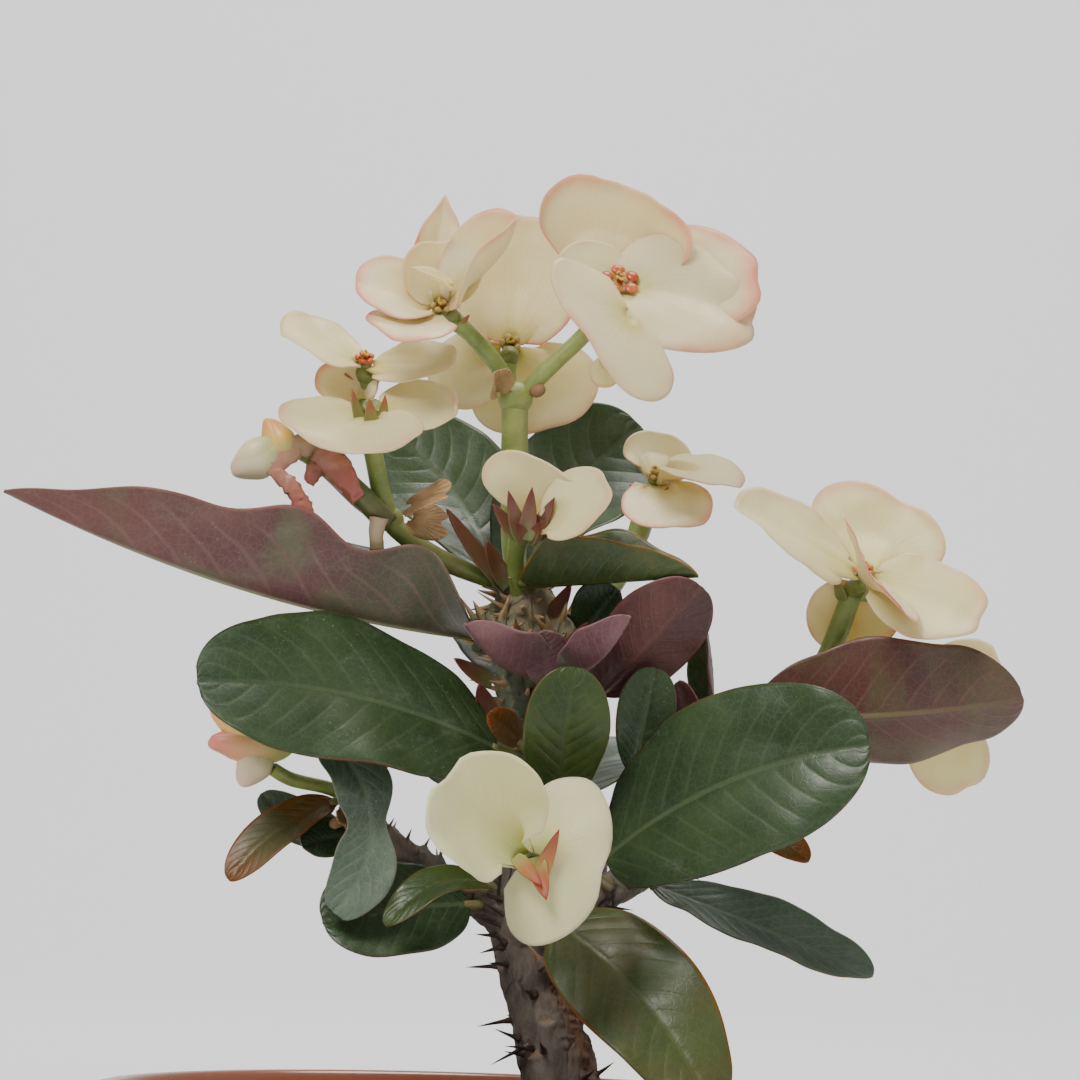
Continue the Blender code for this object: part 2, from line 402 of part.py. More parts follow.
grown("stem", [TRUNK, RIGHT, LEFT] + SIDE_STALKS, seg=12, thorns=thorn_list())
grown("flower_stalk_top", STALK_TOP)
grown("flower_stalk_left", STALK_LEFT)
grown("flower_stalk_right", STALK_RIGHT)

for name, base, tip, bow, up0, up1, width, opt in LEAVES:
    make(name, *sheet(leaf_points(base, tip, bow, up0, up1, width, **opt), LEAF_THICK))
for name, base, tip, up, width, opt in BRACTS:
    make(name, *sheet(bract_points(base, tip, up, width, **opt), BRACT_THICK))


def cluster(name, beads):
    ob = make(name, *bead(*beads[0]))
    for b in beads[1:]:
        ob = combine(ob, make("t", *bead(*b)), "UNION")
    return tidy(ob, name)


cluster("buds_side", BUDS_SIDE)
cluster("buds_left", BUDS_LEFT)


def finish_of(name):
    if name in FINISH:
        return FINISH[name]
    if name.startswith("flower_stalk"):
        return FINISH["stalk"]
    if name.startswith("flower"):
        return FINISH["petal"]
    if name.startswith("buds"):
        return FINISH["bud"]
    return FINISH["burgundy" if name in BURGUNDY else "green"]


for ob in bpy.context.scene.objects:
    colour, rough = finish_of(ob.name)
    mat = bpy.data.materials.new(ob.name)
    mat.use_nodes = True
    shader = mat.node_tree.nodes["Principled BSDF"]
    shader.inputs["Base Color"].default_value = (*colour, 1)
    shader.inputs["Roughness"].default_value = rough
    shader.inputs["Metallic"].default_value = 0.0
    ob.data.materials.clear()
    ob.data.materials.append(mat)
    ob.data.shade_smooth()
    ob.data.set_sharp_from_angle(angle=radians(35))
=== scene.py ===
# Looks of the potted crown of thorns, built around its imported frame. Design tables are in millimetres, in the frame's own axes.
import bpy
import bmesh
import numpy as np
from math import radians, cos, sin, pi, sqrt, exp, atan2
from mathutils import Matrix, Vector


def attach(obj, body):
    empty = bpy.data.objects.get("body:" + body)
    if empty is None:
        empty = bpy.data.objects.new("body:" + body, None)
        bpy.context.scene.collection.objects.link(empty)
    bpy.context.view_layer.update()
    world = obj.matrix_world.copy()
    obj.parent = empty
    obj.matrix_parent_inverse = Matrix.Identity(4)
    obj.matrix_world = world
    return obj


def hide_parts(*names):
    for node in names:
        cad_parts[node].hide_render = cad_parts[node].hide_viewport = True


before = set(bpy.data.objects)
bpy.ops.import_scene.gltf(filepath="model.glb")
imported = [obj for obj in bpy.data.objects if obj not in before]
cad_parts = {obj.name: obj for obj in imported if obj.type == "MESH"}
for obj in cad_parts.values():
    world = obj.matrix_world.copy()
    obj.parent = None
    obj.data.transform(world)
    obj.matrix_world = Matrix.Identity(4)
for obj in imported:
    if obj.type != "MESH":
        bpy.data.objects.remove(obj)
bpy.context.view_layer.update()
MM = 0.001

# ---------------------------------------------------------------- design tables
# pot: turned outline, radius and height, from the middle of the underside round to the middle of the floor
POT = [(50.2, 0.0), (51.6, 0.9), (52.4, 2.2), (70.0, 119.6), (72.4, 119.6), (73.3, 120.4), (74.2, 126.2),
       (75.0, 127.4), (75.0, 128.9), (74.3, 129.8), (73.2, 130.0), (72.0, 129.5), (71.0, 127.8), (68.3, 120.0),
       (50.9, 4.4), (49.6, 2.6)]

# soil: surface height, and how far the root socket goes down
SOIL_TOP = 114.0
SOIL_FLOOR = 2.9

# stems: x, y, z, radius
TRUNK = [(23.4, 0, 93, 6.6), (23.0, 0, 104, 7.9), (22.2, 0, 114, 8.4), (18.7, 0, 133, 7.8), (16.5, 0, 141, 7.0),
         (13.4, 0, 149, 6.0), (10.5, 0, 157, 5.3), (8.8, 0, 164, 5.2), (9.5, 0, 177, 5.4), (10.5, 0, 193, 5.4),
         (9.8, 0, 209, 5.6), (8.0, -1, 222, 5.8), (7.0, -1.5, 230, 4.6), (6.5, -1.5, 234.6, 2.4)]
RIGHT = [(11, 0, 160, 3.6), (20, 1, 167, 3.6), (30, 2, 173, 3.6), (41, 4, 183, 3.6), (52, 3, 193.5, 3.7), (59, 2, 202, 3.2), (60.5, 1.5, 204.5, 1.6)]
LEFT = [(9, -1, 162, 3.2), (-3, -5, 171, 3.2), (-15, -9, 178, 3.1), (-23, -12, 185, 2.8), (-25.5, -13, 188, 1.4)]
# short flower stalks that grow straight out of the stem
SIDE_STALKS = [
    [(7.0, -4, 229, 1.7), (6.4, -9, 236.5, 1.7), (7.0, -12, 241.5, 2.1)],
    [(10, 1, 219, 2.0), (16, 7, 222, 2.2), (25, 10, 231.5, 2.3), (30.5, 12, 242, 2.3), (32.6, 13, 251, 2.2)],
    [(11, -3, 190, 1.9), (11, -24, 184.5, 1.8), (10.5, -41, 178.5, 2.2)],
    [(57, 2.5, 199, 1.8), (74.5, 8, 205, 1.6), (86.3, 10.6, 208.4, 1.8)],
    [(-23, -12, 185, 1.5), (-27.5, -13.5, 189.5, 1.4), (-36, -17, 191.5, 1.4), (-40, -18.5, 193.5, 1.4)],
]
STALK_TOP = [
    [(6.3, -1.6, 235.2, 2.2), (5.8, -2, 242, 2.6), (5.5, -2, 254, 2.7), (5.3, -2, 264, 2.7), (5.1, -2, 270, 2.5)],
    [(5.0, -2, 268, 1.7), (2.0, -4.5, 274.5, 1.7), (-4, -7.0, 281, 1.6), (-8.2, -9.0, 284.2, 2.0)],
    [(5.4, -2, 268, 1.7), (11, -2.5, 274.5, 1.7), (18.5, -3.0, 282, 1.7), (22.5, -2.6, 288.0, 2.1)],
    [(5.0, -1, 268, 1.7), (3.6, 2.0, 273.5, 1.6), (3.7, 3.2, 277.0, 1.8)],
]
STALK_LEFT = [
    [(1.9, -4.1, 232.2, 1.6), (-7, -7, 235.5, 1.9), (-15, -8, 240, 2.0), (-19.5, -9, 245, 2.0), (-22.5, -9.5, 256.5, 1.9), (-23.6, -9.8, 262.5, 2.1)],
    [(-23.2, -9.0, 259.5, 1.5), (-24.8, -7.5, 267, 1.4), (-24.8, -6.5, 271.5, 1.8)],
    [(-18.0, -8.6, 243, 1.9), (-25, -8.8, 247.5, 1.9), (-32, -9.5, 253.5, 1.7), (-37, -11, 256.5, 1.6)],
]
STALK_RIGHT = [[(61.4, 0.6, 206.6, 1.9), (66, -2, 212.5, 2.1), (71, -5.5, 224.5, 2.1), (73.5, -7.5, 232.5, 2.2)]]

# leaves: name, base, tip, sag of the midrib, upper side at the base, upper side at the tip, width, shape
LEAVES = [
    ("leaf_left_long", (-1.5, -7, 221.5), (-94, -26, 246.5), (0, -1, -4.5), (0, -0.1, 1), (0, 0.0, 1), 37, dict(fold=(76, 58), curl=(-6, -6), wave=(1.3, 2.6, 0.4), shape=(0.3, 0.72))),
    ("leaf_left_broad", (4.0, -14, 199), (-54.5, -36, 210), (0, -2, 4.0), (0.1, -0.8, 0.6), (0, -0.85, 0.5), 34, dict(fold=(12, 12), curl=(-12, -16), wave=(0.8, 2, 1.0), shape=(0.45, 0.42))),
    ("leaf_front_right", (26, -18, 178), (76, -44, 202), (-2, -3, 4), (-0.2, -0.8, 0.5), (0.1, -0.95, 0.3), 35, dict(fold=(12, 10), curl=(-10, -14), wave=(0.7, 2, 0.2), shape=(0.42, 0.42))),
    ("leaf_right_burgundy", (54, -8, 207.5), (107.5, -15, 212.5), (0, 0, -1.5), (0, 0.8, 0.6), (0, 0.75, 0.65), 31, dict(fold=(8, 22), curl=(8, 8), wave=(0.9, 2.5, 0.9), shape=(0.55, 0.5))),
    ("leaf_lower_right", (35.5, -8, 173), (79.5, -18, 157), (0, -1, 0.2), (0.1, -0.6, 0.8), (0.1, -0.6, 0.8), 16, dict(fold=(14, 14), wave=(0.5, 2, 0.2), shape=(0.6, 0.5))),
    ("leaf_lower_front", (17.5, -13, 164.5), (48, -34, 130), (2.5, -2, 2.5), (-0.1, -0.85, 0.5), (0.2, -0.9, 0.4), 25, dict(fold=(10, 10), curl=(-10, -10), wave=(0.6, 2, 0.2), shape=(0.36, 0.5))),
    ("leaf_back_upper_right", (9, 8, 234.5), (31, 32, 266), (-3, 4, 1), (-0.5, -0.75, 0.3), (-0.3, -0.9, 0.2), 32, dict(fold=(8, 8), curl=(-8, -8), wave=(0.6, 2, 0.2), shape=(0.55, 0.42))),
    ("leaf_back_upper_left", (2.0, 19, 233.5), (-20, 39, 263.5), (3, 4, 1), (0.4, -0.8, 0.3), (0.3, -0.9, 0.2), 29, dict(fold=(8, 8), curl=(-8, -8), wave=(0.6, 2, 0.9), shape=(0.55, 0.42))),
    ("leaf_centre_olive", (9, -9, 232.0), (42.5, -19, 234.5), (0, -1, 0), (0, 0, 1), (0, 0.1, 1), 21, dict(fold=(76, 60), wave=(0.6, 2, 0.2), shape=(0.3, 0.66))),
    ("leaf_centre_purple", (14.5, -9, 215), (-3, -24, 223.5), (0, -2, -4), (0.1, 0, 1), (0, 0, 1), 18, dict(fold=(60, 50), wave=(0.4, 2, 0.2))),
    ("leaf_centre_small", (17.5, -12.5, 215.0), (29, -26, 226.0), (0, -2, -3), (-0.1, 0, 1), (0, 0, 1), 14, dict(fold=(50, 50), wave=(0.4, 2, 0.2))),
    ("leaf_maroon", (23.5, -8, 210.5), (43.5, -20, 232), (0, -2, 0), (-0.2, 0.9, 0.3), (-0.2, 0.9, 0.3), 19, dict(fold=(14, 20), wave=(0.5, 2, 0.5), shape=(0.5, 0.45))),
    ("leaf_centre_upright", (16, -14, 186), (18.5, -30, 215.5), (0, -5, 0), (0.1, -1, 0.1), (0.1, -1, 0.3), 17, dict(fold=(14, 14), curl=(-10, -10), wave=(0.4, 2, 0.2), shape=(0.75, 0.5))),
    ("leaf_round_dark", (31, -9, 194.5), (34.5, -15, 216), (0, -1, 0), (0.1, -1, 0.1), (0.1, -1, 0.1), 12, dict(fold=(14, 14), wave=(0.3, 2, 0.2), shape=(0.7, 0.45))),
    ("leaf_edge_narrow", (45.5, -1, 202.5), (44, -6, 225.5), (1, 0, 0), (-0.9, -0.4, 0.1), (-0.9, -0.4, 0.1), 11, dict(fold=(30, 30), wave=(0.3, 2, 0.2), shape=(0.6, 0.5))),
    ("leaf_low_left_round", (-0.5, -13, 168), (-29, -24, 164), (0, -1, 0.8), (0.1, -0.85, 0.5), (0, -0.85, 0.5), 22, dict(fold=(10, 10), curl=(-10, -12), wave=(0.5, 2, 0.2), shape=(0.5, 0.42))),
    ("leaf_low_left_narrow", (3, -22, 172.5), (-16.5, -34, 164), (0, -2, 4), (0, -0.6, 0.8), (0, -0.6, 0.8), 9, dict(fold=(14, 14))),
    ("leaf_side_curved_up", (-18.0, -19, 184.5), (-29.5, -26, 200.5), (4.4, -1, 2.6), (0.4, -0.85, 0.4), (0.1, -0.9, 0.45), 14.5, dict(fold=(14, 14), curl=(-10, -10), shape=(0.5, 0.3))),
    ("leaf_side_curved_down", (-19.6, -20, 183.0), (-27.6, -28, 167.0), (3.0, -1, 0.6), (0.3, -0.9, 0.3), (-0.1, -0.95, 0.3), 13.5, dict(fold=(14, 14), curl=(-10, -10), shape=(0.5, 0.35))),
    ("leaf_side_red", (-27.5, -17, 187.5), (-47.5, -24, 171.5), (-1.5, 0, 1.5), (-0.2, -0.8, 0.5), (-0.2, -0.8, 0.5), 10, dict(fold=(14, 14))),
    ("leaf_side_grey", (-25.5, -8, 182.5), (-42.5, -10, 188.5), (0, 0, -3), (-0.1, -0.8, 0.5), (-0.1, -0.8, 0.5), 10, dict(fold=(14, 14), shape=(0.5, 0.45))),
    # the side away from the front
    ("leaf_rear_upper", (10, 8, 209), (4, 58, 222), (0, 3, 4), (0, -0.2, 1), (0, 0.2, 1), 28, dict(fold=(16, 16), curl=(-10, -10), wave=(0.7, 2, 0.3), shape=(0.6, 0.5))),
    ("leaf_rear_right", (18, 8, 190), (47, 50, 199), (-3, 3, 4), (0.1, -0.2, 1), (0.1, 0.1, 1), 25, dict(fold=(16, 16), curl=(-10, -10), wave=(0.7, 2, 0.9), shape=(0.6, 0.5))),
    ("leaf_rear_left", (4, 8, 187), (-22, 48, 194), (3, 3, 4), (-0.1, -0.2, 1), (-0.1, 0.1, 1), 25, dict(fold=(16, 16), curl=(-10, -10), wave=(0.7, 2, 1.7), shape=(0.6, 0.5))),
    ("leaf_rear_low", (12, 8, 172), (20, 46, 168), (0, 3, 5), (0, 0, 1), (0, 0.3, 1), 21, dict(fold=(14, 14), curl=(-10, -10), wave=(0.6, 2, 0.3), shape=(0.6, 0.5))),
]

# bracts (the coloured petals): name, attachment, tip, upper side, width, shape
BRACTS = [
    ("flower1_petal_back", (21.5, 0.2, 294.8), (27, 3, 312.5), (0.05, -0.9, 0.35), 36, dict(cup=20, wave=(0.1, 3, 0.4), notch=0.06, half=106)),
    ("flower1_petal_right", (24, -9.6, 292.0), (54.5, -9.8, 287.0), (0.05, -0.8, 0.58), 31, dict(lift=8, cup=-16, fold=12, wave=(0.1, 3, 0.4), notch=0.06, half=98)),
    ("flower1_petal_front", (23.0, -20, 285.0), (16.0, -31, 279.2), (0.63, -0.56, 0.52), 35, dict(lift=4, cup=-10, off=0.65, wave=(0.1, 3, 1.4), notch=0.06, half=108)),
    ("flower2_petal_back", (-12.5, -8, 290), (-10.4, -2, 306), (0, -0.9, 0.4), 9.5, dict(cup=10, fold=10, notch=-0.15, half=80)),
    ("flower2_petal_left", (-12, -13, 286.5), (-28, -15, 288), (0.1, -0.7, 0.7), 19, dict(lift=8, fold=12, wave=(0.08, 3, 0.4), notch=0.04, half=92)),
    ("flower2_petal_right", (-7, -13, 285.5), (6, -13, 304), (-0.6, -0.5, 0.6), 16, dict(fold=46, wave=(0.06, 3, 0.4), notch=0.04, half=84)),
    ("flower2_petal_front", (-10, -16, 283), (-22.5, -26, 278.5), (0, -0.4, 0.9), 18, dict(lift=4, cup=-10, fold=12, wave=(0.06, 3, 0.4), notch=0.04, half=98)),
    ("flower3_petal_up", (3.5, 11.5, 281), (5.5, 19, 307), (0, -0.9, 0.3), 27, dict(cup=14, fold=8, wave=(0.08, 3, 0.4), notch=0.04, half=92)),
    ("flower3_petal_left", (1.0, 7.2, 279), (-10.5, 7.4, 269.5), (0, -0.9, 0.4), 17, dict(fold=8, wave=(0.08, 3, 0.4), notch=0.04, half=92)),
    ("flower3_petal_down", (6, 12.5, 278.5), (13, 11, 263), (0, -0.9, 0.4), 27, dict(cup=-8, fold=4, wave=(0.08, 3, 0.4), notch=0.04, half=98)),
    ("flower4_petal_left", (-26.5, -8, 274.8), (-42.5, -11, 281.3), (0.1, -0.7, 0.7), 18, dict(lift=8, cup=-6, fold=8, wave=(0.08, 3, 0.4), notch=0.05, half=98)),
    ("flower4_petal_right", (-22.5, -8, 273.5), (-6, -11, 275), (-0.1, -0.6, 0.8), 15, dict(lift=6, cup=-6, fold=8, wave=(0.08, 3, 0.4), notch=0.05, half=98)),
    ("flower5_petal_front", (-24.5, -15, 265), (-29.5, -28, 254.5), (0, -0.5, 0.85), 29, dict(lift=8, cup=-4, fold=4, wave=(0.08, 3, 0.4), notch=0.06, half=106)),
    ("flower5_petal_right", (-21.5, -13, 265.5), (-4.5, -14, 266), (-0.1, -0.75, 0.7), 14, dict(lift=6, cup=-6, fold=4, wave=(0.08, 3, 0.4), notch=0.05, half=94)),
    ("flower6_petal_up", (7.5, -13.5, 245.8), (13, -20, 256), (0, -0.9, 0.4), 22, dict(cup=14, fold=4, wave=(0.06, 3, 0.4), notch=0.04, half=98)),
    ("flower6_petal_right", (11.5, -23, 242), (24.5, -30, 249.5), (-0.1, -0.85, 0.5), 14, dict(cup=8, fold=4, wave=(0.06, 3, 0.4), notch=0.04, half=92)),
    ("flower7_petal_up", (34, 19.5, 256), (35, 25, 264), (0, -0.8, 0.5), 14, dict(cup=10, fold=4, notch=0.04, half=98)),
    ("flower7_petal_right", (36, 12.5, 257), (52.5, 9, 253), (0, -0.25, 0.95), 19, dict(lift=6, cup=-8, fold=8, notch=0.04, half=94)),
    ("flower7_petal_front", (33.5, 8.5, 253), (40, -2, 243.5), (0, -0.55, 0.8), 19, dict(lift=4, cup=-6, fold=4, notch=0.05, half=100)),
    ("flower8_petal_left", (71, -13, 236.5), (49, -17, 249), (0.1, -0.6, 0.8), 19, dict(lift=4, cup=-4, fold=10, notch=0.05, half=94)),
    ("flower8_petal_up_right", (76, -5, 238.5), (89.5, 1, 251.5), (-0.1, -0.85, 0.5), 22, dict(cup=8, fold=4, notch=0.05, half=96)),
    ("flower8_petal_low_right", (77.5, -14.5, 234), (100, -18, 227), (0, -0.78, 0.62), 20, dict(lift=4, cup=-6, fold=4, notch=0.06, half=94)),
    ("flower8_petal_front", (75.5, -22, 232.5), (70, -31, 226.5), (0.1, -0.5, 0.85), 21, dict(lift=10, cup=-20, fold=4, notch=0.05, half=104)),
    ("flower9_petal_left", (6.5, -50, 179.5), (-10.5, -53, 195.2), (0.1, -0.95, 0.3), 33, dict(lift=6, cup=14, fold=6, notch=0.12, half=110, off=0.65)),
    ("flower9_petal_right", (10.8, -45, 179.4), (26.6, -46, 175.6), (-0.1, -0.95, 0.2), 34, dict(lift=4, cup=-8, notch=0.08, half=118, off=0.55)),
    ("flower10_petal_low", (91, 13, 209), (99.5, 10, 193), (0.1, -0.85, 0.4), 17, dict(cup=-6, fold=4, notch=0.05, half=96)),
    ("flower10_petal_up", (91.5, 18.5, 214.5), (104.5, 15, 221), (0, -0.85, 0.4), 14, dict(cup=4, fold=4, notch=0.05, half=96)),
]


# buds: centre, half lengths, direction of the long axis
BUDS_SIDE = [((-44.5, -19.5, 198), (7.4, 2.6, 3.2), (-1, -0.2, 0.05)), ((-47, -20, 202), (5.6, 2.4, 2.8), (-0.9, 0, 0.5)), ((-43.5, -19, 194.2), (4.4, 2.6, 3.0), (-0.5, -0.2, -0.8))]
BUDS_LEFT = [((-41.5, -12.2, 258.5), (4.2, 2.4, 2.8), (-0.5, 0, 0.8)), ((-45.5, -13, 254.5), (5.0, 2.4, 3.4), (-0.8, 0, -0.5))]


# ---------------------------------------------------------------- small tools
def unit(v):
    v = np.asarray(v, float)
    return v / max(np.linalg.norm(v), 1e-12)


def smooth(t):
    t = np.clip(t, 0, 1)
    return t * t * (3 - 2 * t)


class Ripple:
    """Smooth seeded noise: a sum of sine waves in random directions. Roughly -1 to 1."""

    def __init__(self, seed, scale, terms=14, spread=0.6):
        r = np.random.RandomState(seed)
        k = r.normal(size=(terms, 3))
        k /= np.linalg.norm(k, axis=1, keepdims=True)
        self.k = k * (2 * pi / scale) * (1 + spread * (r.rand(terms, 1) * 2 - 1))
        self.f = r.rand(terms) * 2 * pi

    def __call__(self, p):
        return np.sin(np.asarray(p) @ self.k.T + self.f).sum(-1) / sqrt(len(self.f) * 0.5) * 0.5


def leaf_grid(base, tip, bow, up0, up1, width, fold=(10, 10), curl=(0, 0), wave=(0, 2, 0), shape=(0.5, 0.5), cols=28, rows=72, neck=0.9, point=0.25, nick=()):
    b, t = np.asarray(base, float), np.asarray(tip, float)
    ctrl = (b + t) / 2 + 2 * np.asarray(bow, float)
    ca, cb = shape
    peak = ca / (ca + cb)
    top = peak ** ca * (1 - peak) ** cb
    a = np.linspace(-1, 1, cols + 1)
    P = np.zeros((rows + 1, cols + 1, 3))
    Nn = np.zeros((rows + 1, cols + 1, 3))
    Q = np.zeros((rows + 1, cols + 1))
    X = np.zeros((rows + 1, cols + 1))
    for i in range(rows + 1):
        s = i / rows
        q = 0.45 * s + 0.55 * 0.5 * (1 - cos(pi * s))
        m = (1 - q) ** 2 * b + 2 * q * (1 - q) * ctrl + q * q * t
        T = unit(2 * (1 - q) * (ctrl - b) + 2 * q * (t - ctrl))
        up = unit(unit(up0) * (1 - smooth(q)) + unit(up1) * smooth(q))
        N = unit(up - up.dot(T) * T)
        S = np.cross(T, N)
        w = width / 2 * (q ** ca * (1 - q) ** cb) / top
        w = max(w, neck * (1 - smooth(min(1, q * 3))), point)
        side = (a >= 0).astype(int)
        sg = np.where(a < 0, -1.0, 1.0)
        wide = np.ones(2)
        for half, at, amount, spread in nick:
            wide[half] += amount * exp(-((q - at) / spread) ** 2)
        w = w * wide[side]
        f0 = np.radians(np.array(fold))[side] * smooth(min(1, q * 4 + 0.15))
        c0 = np.radians(np.array(curl))[side]
        x = np.abs(a)
        # the blade leaves the midrib rounded, not creased
        k = np.zeros_like(x)
        z = np.zeros_like(x)
        for n in range(10):
            ph = f0 * (1 - np.exp(-(x * (n + 0.5) / 10) * w / 1.1)) + c0 * (n + 0.5) / 10 * x
            k += np.cos(ph) * x / 10
            z += np.sin(ph) * x / 10
        ripple = wave[0] * a * a * np.sin(2 * pi * wave[1] * q + wave[2] + np.where(side == 0, 1.3, 0)) * smooth(min(1, q * 3)) * smooth(min(1, (1 - q) * 4))
        P[i] = m + (sg * k * w)[:, None] * S + (z * w + ripple)[:, None] * N
        Q[i] = q
        X[i] = x * w
    return P, np.tile(a, (rows + 1, 1)), Q, X


def bract_grid(base, tip, up, width, lift=0, cup=0, fold=0, wave=(0, 3, 0), notch=0.05, half=100, off=0.8, cols=44, rows=16, root=1.2, curl_edge=0, uneven=0.0, turn=0.0):
    b, t = np.asarray(base, float), np.asarray(tip, float)
    D = unit(t - b)
    N = unit(np.asarray(up, float) - np.dot(up, D) * D)
    S = np.cross(D, N)
    A = np.linalg.norm(t - b) / (1 + off)
    asp = width / (2 * A)
    a = np.linspace(-1, 1, cols + 1)
    th = radians(half) * a
    R = off * np.cos(th) + np.sqrt(np.maximum(0, 1 - (off * np.sin(th)) ** 2))
    R = R * (1 + uneven * (np.sin(2.3 * th + turn) + 0.6 * np.sin(5.1 * th + 2.1 * turn)))
    R = R * A * (1 - notch * np.exp(-(th / 0.16) ** 2)) * (1 - 0.12 * smooth(np.maximum(0, (np.abs(a) - 0.72) / 0.28)))
    e = np.cos(th)[:, None] * D + (np.sin(th) * asp)[:, None] * S
    le = np.linalg.norm(e, axis=1)
    R = R * le
    e = e / le[:, None]
    p = b + e * root
    P = np.zeros((rows + 1, cols + 1, 3))
    Sx = np.zeros((rows + 1, cols + 1))
    P[0] = p
    prev = 0.0
    for i in range(1, rows + 1):
        rho = (i / rows) ** 0.85
        x = (prev + rho) / 2
        ph = np.radians(lift + cup * x + fold * np.abs(np.sin(th)) + curl_edge * max(0, x - 0.72) / 0.28) + wave[0] * np.sin(wave[1] * th + wave[2]) * x * x
        p = p + (np.cos(ph)[:, None] * e + np.sin(ph)[:, None] * N) * ((R - root) * (rho - prev))[:, None]
        prev = rho
        P[i] = p
        Sx[i] = rho
    return P, np.tile(a, (rows + 1, 1)), Sx


def normals(P):
    n = np.cross(np.gradient(P, axis=1), np.gradient(P, axis=0))
    return n / np.maximum(np.linalg.norm(n, axis=2, keepdims=True), 1e-12)


class Mesh:
    """Collects vertices, faces, material numbers and point attributes for one piece."""

    def __init__(self):
        self.V, self.F, self.M, self.A = [], [], [], {}
        self.n = 0

    def add(self, V, F, mat=0, **attr):
        V = np.asarray(V, float).reshape(-1, 3)
        o = self.n
        self.V.append(V)
        self.F += [tuple(o + int(i) for i in f) for f in F]
        self.M += [mat] * len(F) if np.isscalar(mat) else list(mat)
        for k, v in attr.items():
            self.A.setdefault(k, []).append((o, np.broadcast_to(np.asarray(v, float), (len(V),))))
        self.n += len(V)
        return o

    def piece(self, name, mats, flat=False):
        me = bpy.data.meshes.new(name)
        V = np.vstack(self.V) * MM
        me.from_pydata(V.tolist(), [], self.F)
        for m in mats:
            me.materials.append(m)
        me.polygons.foreach_set("material_index", np.array(self.M, dtype=np.int32))
        for k, parts in self.A.items():
            at = me.attributes.new(k, "FLOAT", "POINT")
            full = np.zeros(self.n, dtype=np.float32)
            for o, v in parts:
                full[o:o + len(v)] = v
            at.data.foreach_set("value", full)
        bm = bmesh.new()
        bm.from_mesh(me)
        bmesh.ops.recalc_face_normals(bm, faces=bm.faces)
        bm.to_mesh(me)
        bm.free()
        if not flat:
            me.shade_smooth()
        ob = bpy.data.objects.new(name, me)
        bpy.context.scene.collection.objects.link(ob)
        return ob


def sheet_into(mesh, top, bot, a, q, mats=(0, 1, 2), **extra):
    rows, cols = top.shape[:2]
    o = rows * cols
    F, M = [], []
    for i in range(rows - 1):
        for j in range(cols - 1):
            p, r, s, t = i * cols + j, i * cols + j + 1, (i + 1) * cols + j + 1, (i + 1) * cols + j
            F.append((p, r, s, t))
            M.append(mats[0])
            F.append((o + t, o + s, o + r, o + p))
            M.append(mats[1])
    ring = list(range(cols)) + [i * cols + cols - 1 for i in range(1, rows)] + [(rows - 1) * cols + j for j in range(cols - 2, -1, -1)] + [i * cols for i in range(rows - 2, 0, -1)]
    for k in range(len(ring)):
        x, y = ring[k], ring[(k + 1) % len(ring)]
        F.append((x, o + x, o + y, y))
        M.append(mats[2])
    mesh.add(np.vstack([top.reshape(-1, 3), bot.reshape(-1, 3)]), F, M, la=np.tile(a.ravel(), 2), lq=np.tile(q.ravel(), 2), **{k: np.tile(v.ravel(), 2) for k, v in extra.items()})


def tube_geo(points, radii, seg=12, cap=True, squash=None):
    pts = np.asarray(points, float)
    V, F = [], []
    T = unit(pts[1] - pts[0])
    A = np.eye(3)[int(np.argmin(np.abs(T)))]
    for i in range(len(pts)):
        T = unit(pts[min(i + 1, len(pts) - 1)] - pts[max(i - 1, 0)])
        A = unit(A - A.dot(T) * T)
        B = np.cross(T, A)
        for k in range(seg):
            f = 2 * pi * k / seg
            V.append(pts[i] + radii[i] * (cos(f) * A + sin(f) * B))
    for i in range(len(pts) - 1):
        for k in range(seg):
            p, r = i * seg + k, i * seg + (k + 1) % seg
            F.append((p, r, r + seg, p + seg))
    if cap:
        F.append(tuple(range(seg - 1, -1, -1)))
        F.append(tuple(range((len(pts) - 1) * seg, len(pts) * seg)))
    return np.array(V), F


def spline(points, n):
    """Smooth curve through rows of numbers (Catmull-Rom), n steps for each stretch."""
    p = np.asarray(points, float)
    p = np.vstack([2 * p[0] - p[1], p, 2 * p[-1] - p[-2]])
    out = []
    for i in range(1, len(p) - 2):
        for k in range(n):
            t = k / n
            out.append(0.5 * (2 * p[i] + (p[i + 1] - p[i - 1]) * t + (2 * p[i - 1] - 5 * p[i] + 4 * p[i + 1] - p[i + 2]) * t * t + (3 * p[i] - p[i - 1] - 3 * p[i + 1] + p[i + 2]) * t ** 3))
    out.append(p[-2])
    return np.array(out)


def blob(centre, half, axis, seg=16, rings=12, pinch=0.25, up=(0.1, 1, 0.2), dent=0.0):
    T = unit(axis)
    A = unit(np.array(up) - np.dot(up, T) * T)
    B = np.cross(T, A)
    c = np.array(centre, float)
    V, F, t = [c - T * half[0]], [], [0.0]
    for i in range(1, rings):
        x = -cos(pi * i / rings)
        r = sin(pi * i / rings) * (1 - pinch * max(0, x))
        for k in range(seg):
            f = 2 * pi * k / seg
            g = 1 - dent * exp(-((f - pi / 2) / 0.35) ** 2) * sin(pi * i / rings)
            V.append(c + T * half[0] * x + r * g * (half[1] * cos(f) * A + half[2] * sin(f) * B))
            t.append((x + 1) / 2)
    V.append(c + T * half[0])
    t.append(1.0)
    e = len(V) - 1
    for k in range(seg):
        n = (k + 1) % seg
        F.append((0, 1 + n, 1 + k))
        F.append((e, e - seg + k, e - seg + n))
        for i in range(rings - 2):
            p = 1 + i * seg
            F.append((p + k, p + n, p + seg + n, p + seg + k))
    return np.array(V), F, np.array(t)


